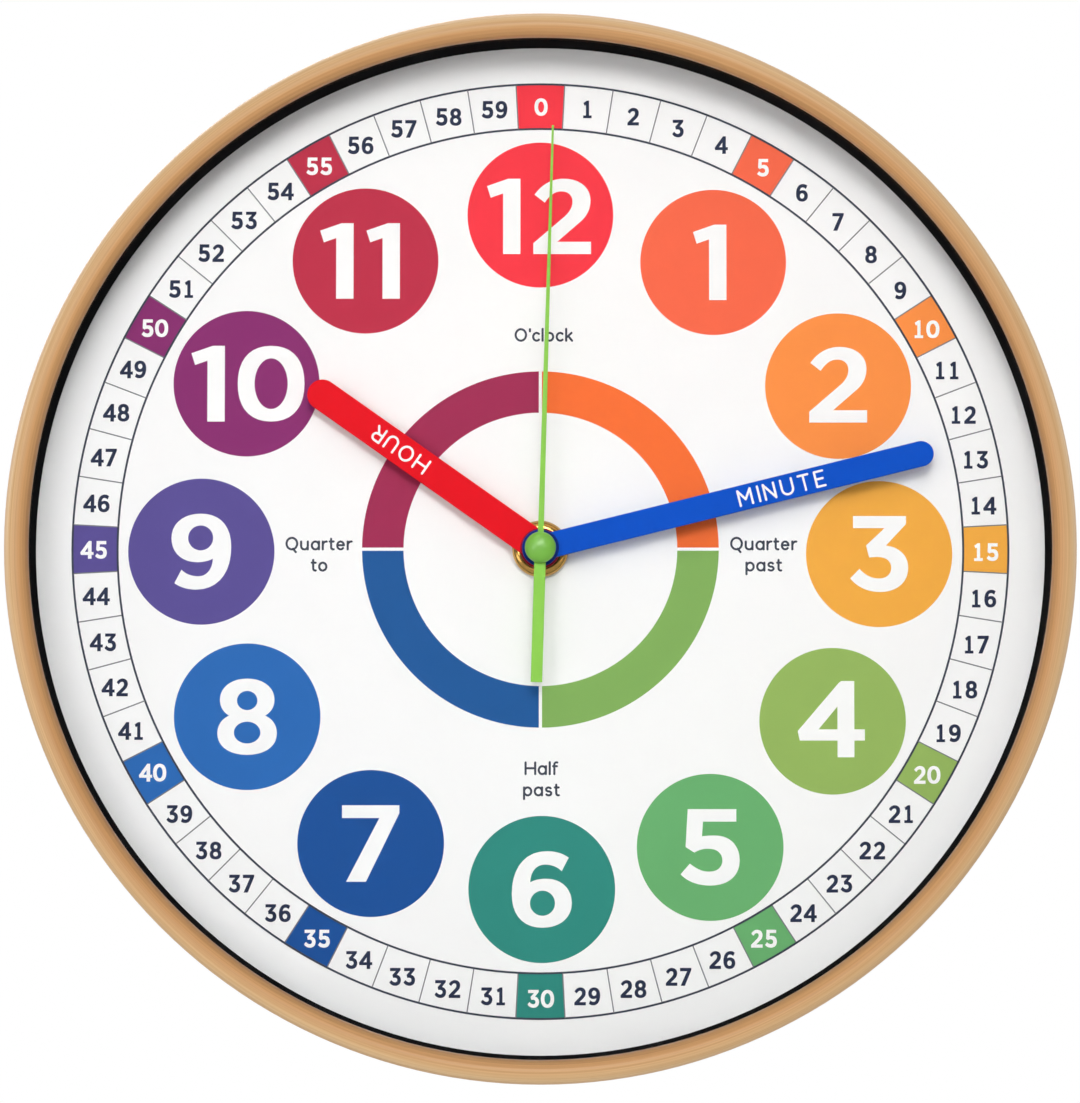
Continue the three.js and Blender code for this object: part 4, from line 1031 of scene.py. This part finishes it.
def boss(bm, outer, inner, back, front, soft, look=0):
    spin(bm, softened([(inner, back, soft / 2), (outer, back, soft), (outer, front, soft),
                       (inner, front, soft / 2)]), steps=96, look=look)


red_enamel = enamel("red stove enamel", "E60A1C")
blue_enamel = enamel("blue stove enamel", "0050C6")
# Darker copies of the two enamels: painted shade for the shadow that the cap and hands throw on the
# bosses.
shaded_red_enamel = enamel("red enamel darkened as painted shade", "A01228")
shaded_blue_enamel = enamel("blue enamel darkened as painted shade", "0A2C80")
hand_edge, bore_margin = 0.22 * mm, 0.2 * mm
hour_strap, minute_strap = 1.0 * mm, 0.9 * mm
for counts, slot, looks, angle, width, length, strap, boss_radius, pipe in (
        ("hour", "red_paint", [red_enamel, shaded_red_enamel], hour_angle,
         8.8 * mm, 81 * mm, hour_strap, 5.8 * mm, 3.0 * mm),
        ("minute", "blue_paint", [blue_enamel, shaded_blue_enamel], minute_angle,
         7.3 * mm, 116 * mm, minute_strap, 5.3 * mm, 1.6 * mm)):
    node = counts + "_hand"
    back, front = depths(node)
    bm = bmesh.new()
    outline_slab(bm, strap_outline(width, pipe + bore_margin, length), (back + front - strap) / 2,
                 strap, angle)
    # The boss takes the darker enamel, as painted shade round the hub.
    boss(bm, boss_radius, pipe, back, front, hand_edge, look=1)
    made = piece(counts + "_pointer", bm, counts + "_drive", looks, [node])
    rolled(made, hand_edge)

# %% [markdown]
# Each long hand says what it counts. The word runs from hub to tip along the strip and is printed
# in white.

# %% Words on the hands
white_print = ink("white pad print", "F7F7F6")
print_thick = 0.03 * mm
for counts, slot, angle, distance, height, nib, strap, spacing in (
        ("hour", "red_paint", hour_angle, 49.1 * mm, 4.1 * mm, 0.16, hour_strap, 1.1),
        ("minute", "blue_paint", minute_angle, 71.1 * mm, 4.3 * mm, 0.15, minute_strap, 1.16)):
    back, front = depths(counts + "_hand")
    bm = bmesh.new()
    write_word(bm, counts.upper(), on_dial(angle, distance), height, nib,
               (back + front + strap) / 2, print_thick, turn=radians(90 - angle), spacing=spacing)
    piece(counts + "_word", bm, counts + "_drive", [white_print])

# %% [markdown]
# The second hand is a fine green needle with a broad tail that balances it. A domed cap of satin
# ABS is pressed on in front and hides the end of the arbor. Its skin is smooth enough for one soft
# highlight, which tells the eye that it is round.

# %% Second hand and cap
needle_root, needle_tip, needle_length = 1.7 * mm, 0.6 * mm, 121.5 * mm
tail_width, tail_length = 3.3 * mm, 38.5 * mm
needle_thick = 0.5 * mm
green_paint = enamel("green enamel", "90D054")
second_back, second_front = depths("second_hand")
hub_outer, arbor_bore = 3 * mm, 0.55 * mm
needle = [(tail_width / 2, 0), (needle_root / 2, 0), (needle_tip / 2, needle_length),
          (-needle_tip / 2, needle_length), (-needle_root / 2, 0), (-tail_width / 2, 0),
          (-tail_width / 2, -tail_length), (tail_width / 2, -tail_length)]
bm = bmesh.new()
outline_slab(bm, needle, (second_back + second_front - needle_thick) / 2, needle_thick, second_angle)
boss(bm, hub_outer, arbor_bore, second_back, second_front, edge_break / 2)
made = piece("second_needle", bm, "second_drive", [green_paint], ["second_hand"])
rolled(made, 0.12 * mm, 2)

green_abs = pigmented("satin green ABS", "76B940", 0.33, ior=1.54, mottle=3 * mm, shift=0.03,
                      grain=0.8 * mm, relief=0.002 * mm, spread=0.03)
cap_back, cap_front = depths("second_hand_cap")
cap_radius = radius("second_hand_cap")
cap_edge = 0.7 * mm
dome_steps = 16
dome = bow(0, cap_back + cap_edge, cap_radius, cap_front - cap_back - cap_edge, 0, 90, dome_steps)
cap = [(0, cap_back), (cap_radius - edge_break, cap_back), (cap_radius, cap_back + edge_break),
       *dome[:-1], (0, cap_front)]
piece("hub_cap", lathed(cap, closed=False, steps=96), "second_drive", [green_abs],
      ["second_hand_cap"], crease=60)

# %% [markdown]
# The back is one moulded pan. Its mould is cut from steel with plain tools: a turned recess for the
# pan, slots for the ribs, pins for the holes. The mesh is made in the same way. Simple closed solids
# are joined to the spun pan or cut from it, and boolean modifiers work out the result.

# %% Solids that join and cut
def rounded_box(left, right, low_edge, high_edge, corner):
    left, right = left + corner, right - corner
    low_edge, high_edge = low_edge + corner, high_edge - corner
    places = ((right, high_edge), (left, high_edge), (left, low_edge), (right, low_edge))
    return [point for k, (x, y) in enumerate(places)
            for point in bow(x, y, corner, corner, 90 * k, 90 * (k + 1), 8)]


def prisms(outlines, back, front):
    bm = bmesh.new()
    for outline in outlines:
        outline_slab(bm, outline, back, front - back, 0)
    return bm


def tool_from(bm):
    bmesh.ops.recalc_face_normals(bm, faces=bm.faces)
    return put("tool", mesh_from("tool", bm))


def carved(blank, steps):
    """The blank after each tool in turn has been joined to it or cut from it."""
    body = tool_from(blank)
    tools = [tool_from(tool) for how, tool in steps]
    for (how, tool), made in zip(steps, tools):
        change = body.modifiers.new(how, "BOOLEAN")
        change.operation, change.solver, change.object = how, "EXACT", made
    result = bmesh.new()
    result.from_object(body, bpy.context.evaluated_depsgraph_get())
    for made in [body, *tools]:
        mesh = made.data
        bpy.data.objects.remove(made)
        bpy.data.meshes.remove(mesh)
    return result


drill = ("DIFFERENCE", prisms([oval(0, 0, 0.5, 0.5)], -1, 2))
print("a drilled plate has", len(carved(prisms([oval(0, 0, 1, 1)], 0, 1), [drill]).faces), "faces")

# %% [markdown]
# The pan is charcoal ABS with an eroded texture that hides scratches. Eight ribs stiffen it on the
# inside, a curb surrounds the opening for the movement, and a pocket behind the keyhole takes the
# head of the hanging screw.

# %% Rear pan
pan_abs = pigmented("textured charcoal ABS", "4A4D51", 0.58, ior=1.53, mottle=6 * mm, shift=0.05,
                    grain=0.45 * mm, relief=0.03 * mm)
cut_over = 1 * mm
pan_back, pan_front = depths("rear_case")
flange_radius = radius("rear_case")
flange_thick, flange_width = 2.4 * mm, 13 * mm
pan_recess, pan_thick, pan_joggle, spigot_wall = 3 * mm, 2 * mm, 4 * mm, 2 * mm
pan_inside = pan_recess + pan_thick
pan_edge = flange_radius - flange_width
spigot_inside = pack_radius - spigot_wall
inner_step = 0.1 * mm
dish = softened([
    (0, pan_recess),
    (pan_edge - pan_joggle, pan_recess, 1.2 * mm),
    (pan_edge, pan_back, 0.8 * mm),
    (flange_radius, pan_back, 0.6 * mm),
    (flange_radius, flange_thick, edge_break),
    (pack_radius, flange_thick),
    (pack_radius, pan_front, edge_break),
    (spigot_inside, pan_front, edge_break),
    (spigot_inside, flange_thick),
    (pan_edge + inner_step, flange_thick, 0.8 * mm),
    (pan_edge - pan_joggle + inner_step, pan_inside, 0.8 * mm),
    (0, pan_inside),
], closed=False)

rib_thick, rib_height, curb_height, opening_gap = 1.6 * mm, 4 * mm, 6 * mm, 1.3 * mm
case_low, case_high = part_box("movement_case")
case_left, case_right = case_low.x - hub_x, case_high.x - hub_x
case_bottom, case_top = case_low.z - hub_z, case_high.z - hub_z
case_corner = 4 * mm


def round_case(margin):
    return rounded_box(case_left - margin, case_right + margin, case_bottom - margin, case_top + margin,
                       case_corner + margin)


ribs = []
for k in range(8):
    angle = radians(45 * (k + 0.5))
    along, across = Vector((cos(angle), sin(angle))), Vector((-sin(angle), cos(angle))) * rib_thick / 2
    near, far = along * case_right, along * (spigot_inside + spigot_wall / 2)
    ribs.append([near - across, far - across, far + across, near + across])

hook_up, slot_width, entry_radius, entry_drop = 112 * mm, 5 * mm, 5 * mm, 9 * mm
head_room, head_gap = 4 * mm, 0.4 * mm     # round the hanging screw's head
pocket_half, pocket_wall, pocket_depth = slot_width / 2 + head_room, 1.5 * mm, 6 * mm
pocket_low = hook_up - entry_drop - entry_radius - head_gap
pocket_high = hook_up + slot_width / 2 + head_room
pocket = [(-pocket_half, pocket_low), (pocket_half, pocket_low), (pocket_half, pocket_high),
          (-pocket_half, pocket_high)]
shell = rounded_box(-pocket_half - pocket_wall, pocket_half + pocket_wall, pocket_low - pocket_wall,
                    pocket_high + pocket_wall, 1 * mm)
half_slot = slot_width / 2
spread = degrees(asin(half_slot / entry_radius))
keyhole = bow(0, hook_up, half_slot, half_slot, 0, 180, 24)
keyhole += bow(0, hook_up - entry_drop, entry_radius, entry_radius, 90 + spread, 450 - spread, 48)
screw_nodes = [f"rim_screw_{k}" for k in range(1, 7)]
screw_at = []
for node in screw_nodes:
    low_point, high_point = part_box(node)
    screw_at.append(((low_point.x + high_point.x) / 2 - hub_x, (low_point.z + high_point.z) / 2 - hub_z))
screw_head, screw_head_front, screw_shank = 1.7 * mm, 1.1 * mm, 0.8 * mm
screw_play = 0.1 * mm


def screw_holes(size, front, steps):
    return prisms([oval(x, y, size + screw_play, size + screw_play, steps) for x, y in screw_at],
                  -cut_over, front)


bm = carved(lathed(dish, closed=False), [
    ("UNION", prisms(ribs, pan_inside - pan_thick / 2, pan_inside + rib_height)),
    ("UNION", prisms([round_case(opening_gap + rib_thick)], pan_inside - pan_thick / 2,
                     pan_inside + curb_height)),
    ("UNION", prisms([shell], pan_inside - pan_thick / 2, pan_inside + pocket_depth + pocket_wall)),
    ("DIFFERENCE", prisms([round_case(opening_gap)], -cut_over, pan_front + cut_over)),
    ("DIFFERENCE", prisms([pocket], pan_inside, pan_inside + pocket_depth)),
    ("DIFFERENCE", prisms([keyhole], -cut_over, pan_inside + pocket_depth / 2)),
    ("DIFFERENCE", screw_holes(screw_head, screw_head_front + screw_play, 32)),
    ("DIFFERENCE", screw_holes(screw_shank, flange_thick + cut_over, 24)),
])
made = piece("rear_pan", bm, "clock_case", [pan_abs], ["rear_case"], crease=40)
rolled(made, 0.2 * mm, 2)

# %% [markdown]
# Six small screws hold the pan. Each has a flat zinc-plated head with a cross recess, pressed in cold
# by a punch.

# %% Rim screws
zinc = pigmented("bright zinc plate", "BCC0C6", 0.28, metallic=1.0, mottle=1 * mm, grain=0.2 * mm,
                 relief=0.003 * mm)
screw_back, screw_front = depths(screw_nodes[0])
screw_point = 1 * mm
cross_half, cross_reach, cross_deep = 0.25 * mm, 1.2 * mm, 0.6 * mm
screw_section = softened([
    (0, screw_back), (screw_head, screw_back, 0.3 * mm), (screw_head, screw_head_front, 0.1 * mm),
    (screw_shank, screw_head_front), (screw_shank, screw_front - screw_point), (0, screw_front),
], closed=False)
for node, (x, y) in zip(screw_nodes, screw_at):
    blank = lathed(screw_section, closed=False, steps=32, right=x, up=y)
    arms = [[(x - a, y - b), (x + a, y - b), (x + a, y + b), (x - a, y + b)]
            for a, b in ((cross_half, cross_reach), (cross_reach, cross_half))]
    bm = carved(blank, [("DIFFERENCE", prisms([arm], screw_back - cut_over, screw_back + cross_deep))
                        for arm in arms])
    piece("screw_" + node[-1], bm, "clock_case", [zinc], [node])

# %% [markdown]
# The cell lies in its bay behind the hands. It is a steel can in a printed shrink sleeve, here a
# plain two-coloured one. The can's end and the contact nub stay bare nickel plate.

# %% Battery cell
sleeves = [pigmented(name, colour, 0.3, ior=1.52, mottle=5 * mm, grain=0.8 * mm, relief=0.006 * mm)
           for name, colour in (("graphite shrink sleeve", "2E3238"),
                                ("silver-grey shrink sleeve", "A9AFB6"))]
nickel = pigmented("nickel-plated steel", "C9C6BE", 0.25, metallic=1.0, mottle=2 * mm, grain=0.25 * mm,
                   relief=0.003 * mm)
cell_low, cell_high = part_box("battery_cell")
cell_middle = (cell_low + cell_high) / 2
cell_half, cell_radius = (cell_high.x - cell_low.x) / 2, (cell_high.z - cell_low.z) / 2
nub_radius, nub_length, sleeve_lip = 2.75 * mm, 1.3 * mm, 0.9 * mm
dimple_radius, rim_radius, dimple_deep, film = 3.2 * mm, 3.8 * mm, 0.3 * mm, 0.1 * mm
shoulder = cell_half - nub_length
band_end = shoulder - 12 * mm
can_radius = cell_radius - sleeve_lip
bm = lathed(softened([
    (0, -cell_half + dimple_deep), (dimple_radius, -cell_half + dimple_deep),
    (rim_radius, -cell_half, 0.3 * mm), (can_radius, -cell_half), (can_radius, -cell_half + film),
    (cell_radius, -cell_half + film, 0.5 * mm), (cell_radius, band_end),
    (cell_radius, shoulder, 0.6 * mm), (can_radius - 0.6 * mm, shoulder - film),
    (nub_radius, shoulder - film, 0.3 * mm), (nub_radius, cell_half, 0.4 * mm), (0, cell_half),
], closed=False), closed=False, steps=96)
bmesh.ops.rotate(bm, verts=bm.verts, cent=spot(0, 0, 0), matrix=Matrix.Rotation(pi / 2, 3, "Z"))
bmesh.ops.translate(bm, verts=bm.verts, vec=cell_middle - spot(0, 0, 0))
for face in bm.faces:
    middle = face.calc_center_median() - cell_middle
    reach = Vector((middle.y, middle.z)).length
    if reach > can_radius:
        face.material_index = 1 if middle.x < band_end else 2
piece("dry_cell", bm, "clock_case", [nickel, *sleeves], ["battery_cell"], crease=50)

# %% [markdown]
# The setting knob is turned from behind with a fingertip. Rounded flutes give the finger its grip.

# %% Setting knob
knob_low, knob_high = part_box("setting_knob")
knob_right, knob_up = (knob_low.x + knob_high.x) / 2 - hub_x, (knob_low.z + knob_high.z) / 2 - hub_z
knob_back, knob_front = depths("setting_knob")
knob_radius, flute_depth, flutes, steps_each = 6 * mm, 0.5 * mm, 18, 12
hollow_radius, hollow_deep = 3.4 * mm, 0.5 * mm
fluted = []
for k in range(flutes * steps_each):
    turn = 2 * pi * k / (flutes * steps_each)
    reach = knob_radius - flute_depth / 2 + flute_depth / 2 * cos(flutes * turn)
    fluted.append((knob_right + reach * cos(turn), knob_up + reach * sin(turn)))
hollow = prisms([oval(knob_right, knob_up, hollow_radius, hollow_radius, 64)],
                knob_back - cut_over, knob_back + hollow_deep)
bm = carved(prisms([fluted], knob_back, knob_front), [("DIFFERENCE", hollow)])
acetal_skin = pigmented("moulded white acetal", "E6E2D8", 0.36, ior=1.48, mottle=3 * mm, grain=0.7 * mm,
                        relief=0.004 * mm)
made = piece("grip_knob", bm, "setting_drive", [acetal_skin], ["setting_knob"])
rolled(made, 0.25 * mm, 2)

# %% [markdown]
# The other pieces keep the frame's own shapes and get the finish that each really has: moulded
# acetal for the wheels, plated steel, sintered magnet, enamelled copper wire, pressed fibreboard
# and so on. Assigning a material to the object's slot is all it takes.

# %% Finishes of the inner pieces
textured_abs = pigmented("textured black ABS", "1B1C1D", 0.55, ior=1.53, mottle=5 * mm, grain=0.4 * mm,
                         relief=0.03 * mm)
inner_looks = {
    "natural acetal": ("E6E2D8", 0.38, 0.0, 0.8 * mm, 0.003 * mm),
    "red acetal": ("B2342C", 0.38, 0.0, 0.8 * mm, 0.003 * mm),
    "zinc-plated steel": ("B9BCC2", 0.32, 1.0, 0.25 * mm, 0.004 * mm),
    "rolled brass": ("C99A48", 0.3, 1.0, 0.25 * mm, 0.003 * mm),
    "sintered ferrite": ("46464A", 0.6, 0.0, 0.2 * mm, 0.01 * mm),
    "enamelled copper wire": ("B4683C", 0.35, 1.0, 0.2 * mm, 0.02 * mm),
    "neoprene": ("1A1A1A", 0.8, 0.0, 0.3 * mm, 0.02 * mm),
    "green solder resist": ("2F6B43", 0.35, 0.0, 0.5 * mm, 0.005 * mm),
    "fibreboard": ("A98B63", 0.85, 0.0, 0.5 * mm, 0.06 * mm),
}
finishes = {name: pigmented(name, colour, roughness, metallic=metallic, grain=grain, relief=relief,
                            mottle=3 * mm, shift=0.06)
            for name, (colour, roughness, metallic, grain, relief) in inner_looks.items()}
slot_finishes = {
    "acetal": "natural acetal", "red_acetal": "red acetal", "steel": "zinc-plated steel",
    "brass": "rolled brass", "magnet": "sintered ferrite", "copper": "enamelled copper wire",
    "rubber": "neoprene", "board": "green solder resist", "fibreboard": "fibreboard"}
slots = {row["node"]: row["material_slot"] for row in frame["record"]["subparts"]}
for name, node in frame["nodes"].items():
    look = finishes.get(slot_finishes.get(slots[name]))
    if slots[name] in ("grey_plastic", "black_plastic"):
        look = textured_abs
    for place in node.material_slots:
        if look:
            place.material = look
print("finishes:", len(finishes) + 1)
